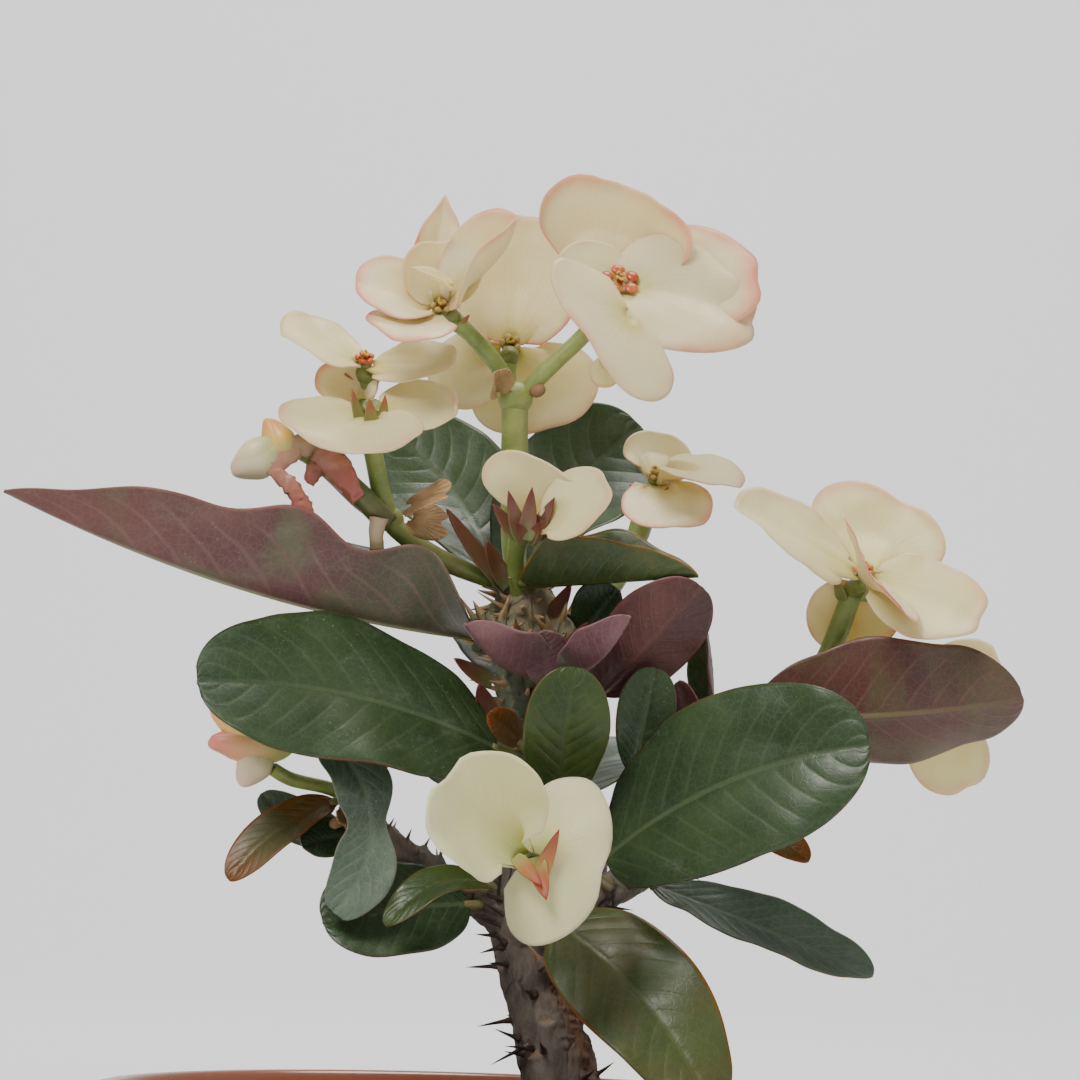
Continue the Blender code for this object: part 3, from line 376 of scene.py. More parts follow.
def lathe_geo(profile, seg):
    V, F = [(0, 0, profile[0][1])], []
    for r, z in profile:
        for k in range(seg):
            f = 2 * pi * k / seg
            V.append((r * cos(f), r * sin(f), z))
    V.append((0, 0, profile[-1][1]))
    e = len(V) - 1
    for k in range(seg):
        n = (k + 1) % seg
        F.append((0, 1 + n, 1 + k))
        F.append((e, e - seg + k, e - seg + n))
        for i in range(len(profile) - 1):
            p = 1 + i * seg
            F.append((p + k, p + n, p + seg + n, p + seg + k))
    return np.array(V), F


# ---------------------------------------------------------------- materials
class Nodes:
    def __init__(self, name):
        self.mat = bpy.data.materials.new(name)
        self.mat.use_nodes = True
        self.t = self.mat.node_tree
        self.bsdf = self.t.nodes["Principled BSDF"]

    def new(self, kind, **kw):
        n = self.t.nodes.new(kind)
        for k, v in kw.items():
            setattr(n, k, v)
        return n

    def put(self, socket, value):
        if isinstance(value, bpy.types.NodeSocket):
            self.t.links.new(value, socket)
        elif isinstance(value, (tuple, list)) and len(value) == 3 and socket.type == "RGBA":
            socket.default_value = (*value, 1)
        else:
            socket.default_value = value

    def math(self, op, a, b=0.0, c=None, clamp=False):
        n = self.new("ShaderNodeMath", operation=op, use_clamp=clamp)
        self.put(n.inputs[0], a)
        self.put(n.inputs[1], b)
        if c is not None:
            self.put(n.inputs[2], c)
        return n.outputs[0]

    def attr(self, name):
        return self.new("ShaderNodeAttribute", attribute_name=name).outputs["Fac"]

    def coord(self):
        return self.new("ShaderNodeTexCoord").outputs["Object"]

    def noise(self, scale, detail=3.0, rough=0.55, vec=None, distort=0.0, out="Fac"):
        n = self.new("ShaderNodeTexNoise")
        self.put(n.inputs["Vector"], vec if vec is not None else self.coord())
        n.inputs["Scale"].default_value = scale
        n.inputs["Detail"].default_value = detail
        n.inputs["Roughness"].default_value = rough
        n.inputs["Distortion"].default_value = distort
        return n.outputs[out]

    def voronoi(self, scale, feature="F1", vec=None, out="Distance", rand=1.0):
        n = self.new("ShaderNodeTexVoronoi", feature=feature)
        self.put(n.inputs["Vector"], vec if vec is not None else self.coord())
        n.inputs["Scale"].default_value = scale
        n.inputs["Randomness"].default_value = rand
        return n.outputs[out]

    def ramp(self, fac, lo, hi, a=0.0, b=1.0, smooth_=True):
        n = self.new("ShaderNodeMapRange", interpolation_type="SMOOTHSTEP" if smooth_ else "LINEAR")
        self.put(n.inputs["Value"], fac)
        n.inputs["From Min"].default_value = lo
        n.inputs["From Max"].default_value = hi
        n.inputs["To Min"].default_value = a
        n.inputs["To Max"].default_value = b
        return n.outputs["Result"]

    def mix(self, fac, a, b, blend="MIX"):
        n = self.new("ShaderNodeMix", data_type="RGBA", blend_type=blend)
        self.put(n.inputs[0], fac)
        self.put(n.inputs[6], a)
        self.put(n.inputs[7], b)
        return n.outputs[2]

    def bump(self, height, dist, strength=1.0, prev=None):
        n = self.new("ShaderNodeBump")
        self.put(n.inputs["Height"], height)
        n.inputs["Distance"].default_value = dist
        n.inputs["Strength"].default_value = strength
        if prev is not None:
            self.put(n.inputs["Normal"], prev)
        return n.outputs["Normal"]

    def set(self, name, value):
        self.put(self.bsdf.inputs[name], value)


VEINS = 10.5
LEAN = 0.24


def vein_lines(a, q, veins=VEINS, lean=LEAN):
    """0 to 1, 1 on a side vein. a is -1 to 1 across the blade, q 0 to 1 along it."""
    c = (q - lean * np.abs(a) ** 1.25) * veins + np.where(a < 0, 0.45, 0.0)
    d = np.abs(c - np.round(c))
    return np.exp(-(d / 0.12) ** 2) * smooth(np.abs(a) * 8) * smooth((1 - np.abs(a)) * 4)


def vein_nodes(m, wide=0.085, wobble=0.12, veins=VEINS, lean=LEAN):
    a, q = m.attr("la"), m.attr("lq")
    ab = m.math("ABSOLUTE", a)
    c = m.math("SUBTRACT", q, m.math("MULTIPLY", m.math("POWER", ab, 1.25), lean))
    c = m.math("MULTIPLY", c, veins)
    c = m.math("ADD", c, m.math("MULTIPLY", m.math("LESS_THAN", a, 0.0), 0.45))
    c = m.math("ADD", c, m.math("MULTIPLY", m.math("SUBTRACT", m.noise(190, 2), 0.5), wobble))
    p = m.math("PINGPONG", c, 0.5)
    line = m.ramp(p, wide * 1.6, 0.0)
    fade = m.math("MULTIPLY", m.ramp(ab, 0.02, 0.14), m.ramp(ab, 0.97, 0.6))
    return m.math("MULTIPLY", line, fade), ab, q


def leaf_material(name, dark, light, vein, rib, edge, vein_amount=0.5, patch=None, patch_amount=0.0, rough=0.36, dust_and_sheen_specks=0.25, edge_wide=0.05, coat=0.04, net=0.3, tipc=None, rib_amount=0.6, basec=None):
    m = Nodes(name)
    line, ab, q = vein_nodes(m)
    blotch = m.noise(45, 4, 0.6)
    fine = m.noise(520, 3, 0.6)
    col = m.mix(m.ramp(blotch, 0.36, 0.68), dark, light)
    if patch is not None:
        pn = m.noise(62, 3, 0.5, distort=0.6)
        pf = m.math("MULTIPLY", m.ramp(pn, 0.44, 0.62), patch_amount)
        # the other colour keeps to the spaces between the side veins
        pf = m.math("MULTIPLY", pf, m.math("SUBTRACT", 1.0, m.math("MULTIPLY", line, 0.6)))
        col = m.mix(pf, col, patch)
    if basec is not None:
        bq = m.math("ADD", q, m.math("MULTIPLY", m.math("SUBTRACT", blotch, 0.5), 0.35))
        col = m.mix(m.math("MULTIPLY", m.ramp(bq, 0.36, 0.10), 0.85), col, basec)
    if tipc is not None:
        col = m.mix(m.math("MULTIPLY", m.ramp(q, 0.55, 1.0), 0.65), col, tipc)
    # fine net of small veins
    netv = m.voronoi(620, "DISTANCE_TO_EDGE")
    netm = m.math("MULTIPLY", m.ramp(netv, 0.09, 0.0), net)
    col = m.mix(netm, col, vein)
    col = m.mix(m.math("MULTIPLY", line, vein_amount), col, vein)
    x = m.attr("lx")
    ribm = m.math("MULTIPLY", m.ramp(x, 0.80, 0.25), m.ramp(q, 0.98, 0.25, 0.15, rib_amount))
    col = m.mix(ribm, col, rib)
    col = m.mix(m.math("MULTIPLY", fine, 0.22), col, light)
    em = m.math("MULTIPLY", m.ramp(ab, 1.0 - edge_wide, 1.0 - edge_wide * 0.2), m.ramp(m.noise(55, 3, 0.6), 0.38, 0.66, 0.12, 0.85))
    col = m.mix(em, col, edge)
    # pale specks and streaks: dust on the leaf; set high, as on the grey-green leaves, they are also painted sheen
    if dust_and_sheen_specks:
        sp = m.voronoi(760)
        sn = m.noise(26, 3, 0.6)
        s = m.math("MULTIPLY", m.ramp(sp, 0.18, 0.07), m.ramp(sn, 0.54, 0.68))
        dm = m.new("ShaderNodeMapping")
        m.put(dm.inputs["Vector"], m.coord())
        dm.inputs["Scale"].default_value = (0.55, 0.8, 1.3)
        dm.inputs["Rotation"].default_value = (0, 0.5, 0)
        dust = m.math("MULTIPLY", m.ramp(m.noise(120, 6, 0.75, dm.outputs["Vector"]), 0.50, 0.80), m.ramp(m.noise(24, 3, 0.55), 0.42, 0.68, 0.10, 0.62))
        s = m.math("MAXIMUM", m.math("MULTIPLY", s, dust_and_sheen_specks * 1.3), m.math("MULTIPLY", dust, dust_and_sheen_specks * 1.9))
        col = m.mix(s, col, (0.27, 0.30, 0.24))
        m.set("Roughness", m.math("ADD", m.math("MULTIPLY", s, 0.4), m.ramp(m.noise(140, 4), 0.3, 0.7, rough - 0.06, rough + 0.14)))
    else:
        m.set("Roughness", m.ramp(m.noise(140, 4), 0.3, 0.7, rough - 0.06, rough + 0.14))
    hs = m.new("ShaderNodeHueSaturation")
    hs.inputs["Saturation"].default_value = 1.28 if dark[1] >= dark[0] * 0.9 else 1.0
    hs.inputs["Value"].default_value = 0.92
    m.put(hs.inputs["Color"], col)
    m.set("Base Color", hs.outputs["Color"])
    h = m.math("ADD", m.math("MULTIPLY", line, -0.5), m.math("MULTIPLY", netm, -0.5))
    nb = m.bump(h, 0.00012, 0.6)
    nb = m.bump(m.noise(900, 3, 0.6), 0.00006, 0.55, nb)
    m.set("Normal", nb)
    m.bsdf.inputs["Coat Weight"].default_value = coat
    m.bsdf.inputs["Coat Roughness"].default_value = 0.32
    m.bsdf.inputs["Specular IOR Level"].default_value = 0.36
    m.bsdf.inputs["Subsurface Weight"].default_value = 0.06
    m.bsdf.inputs["Subsurface Radius"].default_value = (0.002, 0.004, 0.001)
    m.bsdf.inputs["Subsurface Scale"].default_value = 0.4
    return m.mat


def petal_material(name, cream, throat, pink, pink_amount, green=None, green_amount=0.0, rough=0.42):
    m = Nodes(name)
    a, s = m.attr("la"), m.attr("lq")
    ab = m.math("ABSOLUTE", a)
    n1 = m.noise(70, 4, 0.6)
    n2 = m.noise(240, 3, 0.6)
    col = m.mix(m.ramp(n1, 0.3, 0.72), cream, tuple(c * k for c, k in zip(cream, (0.93, 0.90, 0.80))))
    # throat
    col = m.mix(m.ramp(m.math("ADD", s, m.math("MULTIPLY", n2, 0.12)), 0.46, 0.02), col, throat)
    if green is not None:
        g = m.math("MULTIPLY", m.ramp(m.noise(48, 3, 0.5), 0.42, 0.66), green_amount)
        col = m.mix(g, col, green)
    # margin flushed with pink, uneven along its length
    rimn = m.ramp(m.noise(34, 3, 0.6), 0.34, 0.62, 0.12, 1.0)
    sm = m.ramp(m.math("ADD", s, m.math("MULTIPLY", m.math("SUBTRACT", n2, 0.5), 0.10)), 0.70, 1.0)
    sm = m.math("POWER", sm, 2.6)
    am = m.math("POWER", m.ramp(ab, 0.80, 1.0), 2.0)
    pm = m.math("MULTIPLY", m.math("MAXIMUM", sm, m.math("MULTIPLY", am, 0.7)), rimn)
    col = m.mix(m.math("MULTIPLY", pm, pink_amount), col, pink)
    # soft radial veins
    w = m.math("MULTIPLY", a, 17.0)
    w = m.math("ADD", w, m.math("MULTIPLY", m.math("SUBTRACT", n2, 0.5), 0.8))
    vl = m.ramp(m.math("PINGPONG", w, 0.5), 0.12, 0.0)
    vl = m.math("MULTIPLY", vl, m.ramp(s, 0.98, 0.4))
    col = m.mix(m.math("MULTIPLY", vl, 0.10), col, tuple(c * k for c, k in zip(cream, (0.86, 0.78, 0.55))))
    # small blemishes
    b = m.math("MULTIPLY", m.ramp(m.voronoi(150), 0.07, 0.02), m.ramp(m.noise(31, 2), 0.6, 0.7))
    col = m.mix(m.math("MULTIPLY", b, 0.5), col, (0.42, 0.22, 0.12))
    m.set("Base Color", col)
    m.set("Roughness", m.ramp(n2, 0.3, 0.7, rough - 0.06, rough + 0.1))
    nb = m.bump(vl, 0.00010, 0.35)
    nb = m.bump(m.noise(1100, 2, 0.5), 0.00004, 0.5, nb)
    m.set("Normal", nb)
    m.bsdf.inputs["Subsurface Weight"].default_value = 0.35
    m.bsdf.inputs["Subsurface Radius"].default_value = (0.0035, 0.0022, 0.0012)
    m.bsdf.inputs["Subsurface Scale"].default_value = 1.0
    m.bsdf.inputs["Sheen Weight"].default_value = 0.08
    m.bsdf.inputs["Specular IOR Level"].default_value = 0.35
    return m.mat


def stalk_material(name, lo, hi, flush, flush_amount=0.35):
    m = Nodes(name)
    n = m.noise(120, 4, 0.6)
    col = m.mix(m.ramp(n, 0.3, 0.7), lo, hi)
    z = m.noise(34, 2)
    col = m.mix(m.math("MULTIPLY", m.ramp(z, 0.5, 0.72), flush_amount), col, flush)
    sp = m.math("MULTIPLY", m.ramp(m.voronoi(900), 0.2, 0.08), 0.35)
    col = m.mix(sp, col, tuple(min(1, c * 1.5) for c in hi))
    m.set("Base Color", col)
    m.set("Roughness", m.ramp(n, 0.3, 0.7, 0.34, 0.5))
    m.set("Normal", m.bump(m.noise(700, 3), 0.00012, 0.5))
    m.bsdf.inputs["Subsurface Weight"].default_value = 0.15
    m.bsdf.inputs["Subsurface Radius"].default_value = (0.002, 0.003, 0.001)
    return m.mat


def bark_material():
    m = Nodes("bark")
    g = m.attr("young")
    scar = m.attr("scar")
    co = m.coord()
    mp = m.new("ShaderNodeMapping")
    m.put(mp.inputs["Vector"], co)
    mp.inputs["Scale"].default_value = (1.0, 1.0, 0.45)
    st = mp.outputs["Vector"]
    n = m.noise(150, 6, 0.7, st)
    n2 = m.noise(38, 4, 0.6)
    n3 = m.noise(600, 4, 0.7, st)
    col = m.mix(m.ramp(n, 0.32, 0.7), (0.085, 0.066, 0.053), (0.270, 0.225, 0.182))
    col = m.mix(m.ramp(n2, 0.5, 0.75), col, (0.33, 0.285, 0.235))
    crack = m.ramp(m.voronoi(210, "DISTANCE_TO_EDGE", st), 0.07, 0.0)
    crack = m.math("MULTIPLY", crack, m.ramp(m.noise(70, 3), 0.42, 0.6))
    col = m.mix(m.math("MULTIPLY", crack, 0.8), col, (0.022, 0.016, 0.012))
    rust = m.math("MAXIMUM", m.math("MULTIPLY", m.ramp(m.noise(27, 3), 0.58, 0.72), 0.5), m.math("MULTIPLY", m.attr("cork"), 0.85))
    col = m.mix(rust, col, m.mix(m.ramp(n, 0.35, 0.65), (0.075, 0.034, 0.018), (0.27, 0.135, 0.062)))
    yg = m.mix(m.ramp(n, 0.35, 0.7), (0.085, 0.100, 0.055), (0.250, 0.255, 0.160))
    yg = m.mix(m.math("MULTIPLY", m.ramp(n2, 0.55, 0.72), 0.65), yg, (0.27, 0.18, 0.10))
    col = m.mix(g, col, yg)
    col = m.mix(m.math("MULTIPLY", scar, 0.8), col, (0.33, 0.235, 0.16))
    col = m.mix(m.math("MULTIPLY", n3, 0.25), col, (0.03, 0.024, 0.02))
    m.set("Base Color", col)
    m.set("Roughness", m.ramp(n, 0.2, 0.8, 0.62, 0.9))
    h = m.math("SUBTRACT", m.math("ADD", n, m.math("MULTIPLY", n3, 0.5)), m.math("MULTIPLY", crack, 1.2))
    m.set("Normal", m.bump(h, 0.0006, 0.8))
    return m.mat


def thorn_material():
    m = Nodes("thorn")
    t, k = m.attr("along"), m.attr("kind")
    n = m.noise(600, 3)
    old = m.mix(m.ramp(t, 0.0, 0.6), (0.10, 0.065, 0.045), (0.022, 0.014, 0.011))
    young = m.mix(m.ramp(t, 0.0, 0.75), (0.36, 0.20, 0.085), (0.62, 0.43, 0.24))
    young = m.mix(m.ramp(t, 0.75, 1.0), young, (0.10, 0.035, 0.02))
    col = m.mix(k, old, young)
    col = m.mix(m.math("MULTIPLY", n, 0.25), col, (0.05, 0.03, 0.02))
    m.set("Base Color", col)
    m.set("Roughness", m.ramp(n, 0.3, 0.7, 0.35, 0.55))
    m.set("Normal", m.bump(n, 0.0001, 0.4))
    return m.mat


def soil_material():
    m = Nodes("soil")
    n = m.noise(300, 6, 0.7)
    v = m.voronoi(240, out="Color")
    sep = m.new("ShaderNodeSeparateColor")
    m.put(sep.inputs[0], v)
    col = m.mix(m.ramp(n, 0.3, 0.7), (0.020, 0.013, 0.009), (0.075, 0.050, 0.034))
    col = m.mix(m.math("MULTIPLY", m.ramp(sep.outputs[0], 0.75, 0.95), 0.6), col, (0.15, 0.10, 0.065))
    k = m.attr("kind")
    col = m.mix(k, col, (0.50, 0.46, 0.40))
    m.set("Base Color", col)
    m.set("Roughness", m.ramp(n, 0.3, 0.7, 0.8, 0.97))
    m.set("Normal", m.bump(n, 0.0008, 0.8))
    return m.mat


def pot_material():
    m = Nodes("pot_plastic")
    n = m.noise(9, 3, 0.5)
    f = m.noise(420, 3, 0.6)
    col = m.mix(m.ramp(n, 0.3, 0.7), (0.250, 0.078, 0.040), (0.300, 0.098, 0.052))
    mp = m.new("ShaderNodeMapping")
    m.put(mp.inputs["Vector"], m.coord())
    mp.inputs["Scale"].default_value = (1, 1, 9)
    scuff = m.math("MULTIPLY", m.ramp(m.noise(55, 6, 0.75, mp.outputs["Vector"]), 0.60, 0.74), m.ramp(m.noise(16, 2), 0.45, 0.65))
    col = m.mix(m.math("MULTIPLY", scuff, 0.28), col, (0.48, 0.27, 0.19))
    dust = m.math("MULTIPLY", m.ramp(m.voronoi(300), 0.10, 0.05), m.ramp(m.noise(20, 2), 0.5, 0.7))
    col = m.mix(m.math("MULTIPLY", dust, 0.5), col, (0.42, 0.33, 0.27))
    m.set("Base Color", col)
    m.set("Roughness", m.math("ADD", m.ramp(f, 0.3, 0.7, 0.19, 0.27), m.math("MULTIPLY", scuff, 0.3)))
    m.set("Normal", m.bump(m.noise(160, 3), 0.00006, 0.35))
    m.bsdf.inputs["Specular IOR Level"].default_value = 0.55
    m.bsdf.inputs["Coat Weight"].default_value = 0.25
    m.bsdf.inputs["Coat Roughness"].default_value = 0.12
    return m.mat


def gland_material(name, lo, hi, rough=0.35, vari=260):
    m = Nodes(name)
    n = m.noise(vari, 3, 0.6)
    col = m.mix(m.ramp(n, 0.3, 0.7), lo, hi)
    m.set("Base Color", col)
    m.set("Roughness", m.ramp(n, 0.3, 0.7, rough - 0.05, rough + 0.15))
    m.set("Normal", m.bump(m.noise(vari * 4, 3), 0.0001, 0.4))
    m.bsdf.inputs["Subsurface Weight"].default_value = 0.12
    m.bsdf.inputs["Subsurface Radius"].default_value = (0.002, 0.001, 0.0006)
    return m.mat


def dry_material():
    m = Nodes("dry_bract")
    n = m.noise(110, 5, 0.7)
    col = m.mix(m.ramp(n, 0.3, 0.7), (0.25, 0.130, 0.050), (0.56, 0.36, 0.17))
    a = m.attr("la")
    w = m.ramp(m.math("PINGPONG", m.math("MULTIPLY", a, 13.0), 0.5), 0.14, 0.0)
    col = m.mix(m.math("MULTIPLY", w, 0.45), col, (0.12, 0.06, 0.03))
    m.set("Base Color", col)
    m.set("Roughness", m.ramp(n, 0.3, 0.7, 0.6, 0.85))
    m.set("Normal", m.bump(m.math("ADD", n, m.math("MULTIPLY", w, 0.5)), 0.0004, 0.7))
    return m.mat


def bud_material(name, lo, mid, tip):
    m = Nodes(name)
    t = m.attr("lq")
    n = m.noise(160, 3)
    t2 = m.math("ADD", t, m.math("MULTIPLY", m.math("SUBTRACT", n, 0.5), 0.25))
    col = m.mix(m.ramp(t2, 0.1, 0.5), lo, mid)
    col = m.mix(m.ramp(t2, 0.5, 0.95), col, tip)
    m.set("Base Color", col)
    m.set("Roughness", m.ramp(n, 0.3, 0.7, 0.33, 0.48))
    m.set("Normal", m.bump(m.noise(600, 3), 0.0001, 0.4))
    m.bsdf.inputs["Subsurface Weight"].default_value = 0.25
    m.bsdf.inputs["Subsurface Radius"].default_value = (0.003, 0.002, 0.001)
    return m.mat


G_DARK, G_LIGHT, G_VEIN = (0.021, 0.038, 0.018), (0.046, 0.070, 0.033), (0.085, 0.115, 0.063)
MAT = {
    "green": leaf_material("leaf_green", G_DARK, G_LIGHT, G_VEIN, (0.115, 0.145, 0.085), (0.10, 0.060, 0.040), 0.36, dust_and_sheen_specks=0.36),
    "green_under": leaf_material("leaf_green_under", (0.045, 0.062, 0.030), (0.085, 0.105, 0.050), (0.13, 0.14, 0.07), (0.22, 0.22, 0.10), (0.16, 0.05, 0.03), 0.4, rough=0.45, dust_and_sheen_specks=0.15, patch=(0.10, 0.035, 0.03), patch_amount=0.35),
    "olive": leaf_material("leaf_olive", (0.038, 0.056, 0.024), (0.078, 0.098, 0.040), (0.115, 0.130, 0.065), (0.13, 0.15, 0.07), (0.36, 0.13, 0.05), 0.28, rough=0.36, dust_and_sheen_specks=0.2, edge_wide=0.06, patch=(0.13, 0.075, 0.035), patch_amount=0.3, rib_amount=0.4),
    "deep": leaf_material("leaf_deep_green", (0.026, 0.044, 0.018), (0.060, 0.082, 0.030), (0.085, 0.105, 0.045), (0.095, 0.115, 0.05), (0.20, 0.11, 0.05), 0.25, rough=0.36, dust_and_sheen_specks=0.2, rib_amount=0.4),
    "mottled": leaf_material("leaf_burgundy_mottled", (0.100, 0.038, 0.040), (0.172, 0.074, 0.068), (0.21, 0.130, 0.105), (0.30, 0.33, 0.13), (0.26, 0.09, 0.07), 0.4, rough=0.40, dust_and_sheen_specks=0.24, patch=(0.110, 0.125, 0.060), patch_amount=0.85, tipc=(0.16, 0.045, 0.040), rib_amount=0.9, basec=(0.060, 0.085, 0.045)),
    "burgundy": leaf_material("leaf_burgundy", (0.074, 0.027, 0.024), (0.120, 0.044, 0.036), (0.19, 0.10, 0.06), (0.30, 0.24, 0.10), (0.20, 0.045, 0.04), 0.4, rough=0.36, dust_and_sheen_specks=0.14, patch=(0.095, 0.078, 0.034), patch_amount=0.8, rib_amount=0.8),
    "purple": leaf_material("leaf_purple", (0.140, 0.055, 0.070), (0.250, 0.115, 0.125), (0.29, 0.17, 0.16), (0.26, 0.20, 0.14), (0.42, 0.22, 0.22), 0.3, rough=0.40, dust_and_sheen_specks=0.2, patch=(0.12, 0.12, 0.07), patch_amount=0.4, rib_amount=0.35, basec=(0.12, 0.13, 0.08)),
    "maroon": leaf_material("leaf_maroon", (0.062, 0.022, 0.020), (0.120, 0.040, 0.036), (0.15, 0.065, 0.055), (0.15, 0.075, 0.055), (0.28, 0.07, 0.09), 0.25, rough=0.38, dust_and_sheen_specks=0.12, rib_amount=0.3, edge_wide=0.16),
    # painted sheen: the grey-green leaves are a lighter green with many pale specks and streaks, standing in for the
    # sky's sheen on their upper sides
    "grey": leaf_material("leaf_grey_green_painted_sheen", (0.070, 0.095, 0.070), (0.130, 0.165, 0.125), (0.20, 0.235, 0.19), (0.22, 0.25, 0.19), (0.22, 0.20, 0.15), 0.35, rough=0.36, dust_and_sheen_specks=0.6, rib_amount=0.4),
    "rust": leaf_material("leaf_rust", (0.062, 0.060, 0.026), (0.105, 0.100, 0.045), (0.16, 0.12, 0.06), (0.14, 0.12, 0.05), (0.26, 0.06, 0.03), 0.2, rough=0.40, dust_and_sheen_specks=0.12, edge_wide=0.2, patch=(0.150, 0.055, 0.030), patch_amount=0.7, rib_amount=0.3, tipc=(0.20, 0.055, 0.03)),
    "petal": petal_material("petal_cream", (0.80, 0.680, 0.370), (0.60, 0.53, 0.14), (0.76, 0.27, 0.17), 0.7),
    "petal_blush": petal_material("petal_blush", (0.80, 0.655, 0.385), (0.60, 0.51, 0.16), (0.78, 0.21, 0.15), 1.0),
    "petal_green": petal_material("petal_green_cream", (0.78, 0.715, 0.400), (0.46, 0.52, 0.10), (0.70, 0.48, 0.30), 0.25, green=(0.62, 0.66, 0.36), green_amount=0.35),
    "stalk": stalk_material("stalk_green", (0.16, 0.22, 0.045), (0.30, 0.36, 0.10), (0.42, 0.30, 0.12)),
    "stalk_dark": stalk_material("stalk_dark", (0.07, 0.105, 0.028), (0.15, 0.19, 0.06), (0.20, 0.08, 0.04), 0.5),
    "petiole": stalk_material("petiole", (0.10, 0.11, 0.035), (0.20, 0.19, 0.07), (0.24, 0.09, 0.04), 0.6),
    "bark": bark_material(),
    "thorn": thorn_material(),
    "soil": soil_material(),
    "pot": pot_material(),
    "gland": gland_material("nectar_gland", (0.42, 0.055, 0.02), (0.66, 0.16, 0.04), 0.25),
    "gland_pale": gland_material("nectar_gland_pale", (0.42, 0.22, 0.06), (0.50, 0.40, 0.12), 0.3),
    "cup": gland_material("flower_cup", (0.28, 0.10, 0.03), (0.46, 0.30, 0.07), 0.4),
    "cup_green": gland_material("flower_cup_green", (0.12, 0.15, 0.03), (0.26, 0.28, 0.07), 0.4),
    "anther": gland_material("anther", (0.60, 0.34, 0.05), (0.80, 0.58, 0.14), 0.6),
    "tooth_maroon": bud_material("bracteole_maroon", (0.17, 0.18, 0.06), (0.20, 0.095, 0.05), (0.17, 0.040, 0.035)),
    "tooth_orange": bud_material("bracteole_orange", (0.38, 0.34, 0.09), (0.42, 0.15, 0.05), (0.38, 0.06, 0.03)),
    "tooth_rust": bud_material("scale_rust", (0.085, 0.095, 0.035), (0.16, 0.075, 0.035), (0.20, 0.060, 0.030)),
    "bud_yellow": bud_material("bud_yellow", (0.42, 0.45, 0.14), (0.78, 0.50, 0.13), (0.80, 0.36, 0.10)),
    "tooth": bud_material("bracteole", (0.19, 0.25, 0.06), (0.25, 0.24, 0.08), (0.38, 0.10, 0.05)),
    "dry": dry_material(),
    "withered": bud_material("withered_petal", (0.44, 0.30, 0.17), (0.44, 0.20, 0.13), (0.42, 0.12, 0.09)),
    "stub": bud_material("broken_stub", (0.30, 0.26, 0.12), (0.52, 0.38, 0.23), (0.55, 0.40, 0.26)),
    "bud": bud_material("bud", (0.42, 0.42, 0.14), (0.72, 0.42, 0.17), (0.70, 0.22, 0.15)),
    "bud_cream": bud_material("bud_cream", (0.55, 0.55, 0.25), (0.78, 0.68, 0.42), (0.80, 0.60, 0.42)),
}

# ---------------------------------------------------------------- leaves
# node: (upper side, under side); the grey look is a lighter green with painted sheen
LEAF_LOOK = {
    "leaf_left_long": ("green", "mottled"), "leaf_left_broad": ("green", "green_under"), "leaf_front_right": ("green", "green_under"),
    "leaf_right_burgundy": ("green", "burgundy"), "leaf_lower_right": ("grey", "green_under"), "leaf_lower_front": ("olive", "green_under"),
    "leaf_back_upper_right": ("green", "green_under"), "leaf_back_upper_left": ("green", "green_under"), "leaf_centre_olive": ("olive", "olive"),
    "leaf_centre_purple": ("olive", "purple"), "leaf_centre_small": ("olive", "purple"), "leaf_maroon": ("green", "maroon"),
    "leaf_centre_upright": ("deep", "green_under"), "leaf_round_dark": ("green", "maroon"), "leaf_edge_narrow": ("olive", "maroon"),
    "leaf_low_left_round": ("green", "green_under"), "leaf_low_left_narrow": ("deep", "green_under"), "leaf_side_curved_up": ("grey", "grey"),
    "leaf_side_curved_down": ("grey", "grey"), "leaf_side_red": ("rust", "rust"), "leaf_side_grey": ("grey", "rust"),
    "small_leaf_orange": ("rust", "rust"), "small_leaf_red_tip": ("rust", "maroon"), "small_leaf_dark": ("green", "maroon"), "small_leaf_purple_join": ("purple", "purple"), "small_leaf_side_dark": ("green", "maroon"), "small_leaf_edge_dark": ("maroon", "maroon"),
    "leaf_rear_upper": ("green", "green_under"), "leaf_rear_right": ("green", "burgundy"), "leaf_rear_left": ("green", "green_under"), "leaf_rear_low": ("green", "burgundy"),
}
# uneven margins: half (0 or 1), place along the blade, more or less width there, spread
LEAF_NICK = {
    "leaf_left_long": [(0, 0.12, 0.16, 0.07), (0, 0.30, -0.24, 0.085), (0, 0.47, 0.10, 0.09), (0, 0.66, 0.05, 0.07)],
    "leaf_centre_olive": [(1, 0.25, 0.10, 0.12), (1, 0.62, -0.16, 0.12), (0, 0.6, 0.14, 0.18)],
    "leaf_maroon": [(0, 0.4, 0.08, 0.2)],
    "leaf_side_curved_up": [(0, 0.5, -0.62, 0.14), (1, 0.5, -0.30, 0.14), (0, 0.84, 0.12, 0.1)],
    "leaf_left_broad": [(1, 0.5, 0.05, 0.2), (0, 0.82, 0.05, 0.08)],
    "leaf_front_right": [(0, 0.35, 0.04, 0.1), (1, 0.7, 0.04, 0.12)],
    "leaf_right_burgundy": [(0, 0.4, 0.06, 0.15), (1, 0.75, -0.05, 0.1)],
}
STEMS = [TRUNK, RIGHT, LEFT]


def nearest_stem(p):
    best = None
    for st in STEMS:
        s = spline(st, 8)
        d = np.linalg.norm(s[:, :3] - p, axis=1)
        # the leaf stalk climbs a little from where it leaves the stem
        d = d + np.maximum(0, s[:, 2] - p[2]) * 0.8
        i = int(np.argmin(d))
        if best is None or d[i] < best[0]:
            best = (d[i], s[i])
    return best[1]


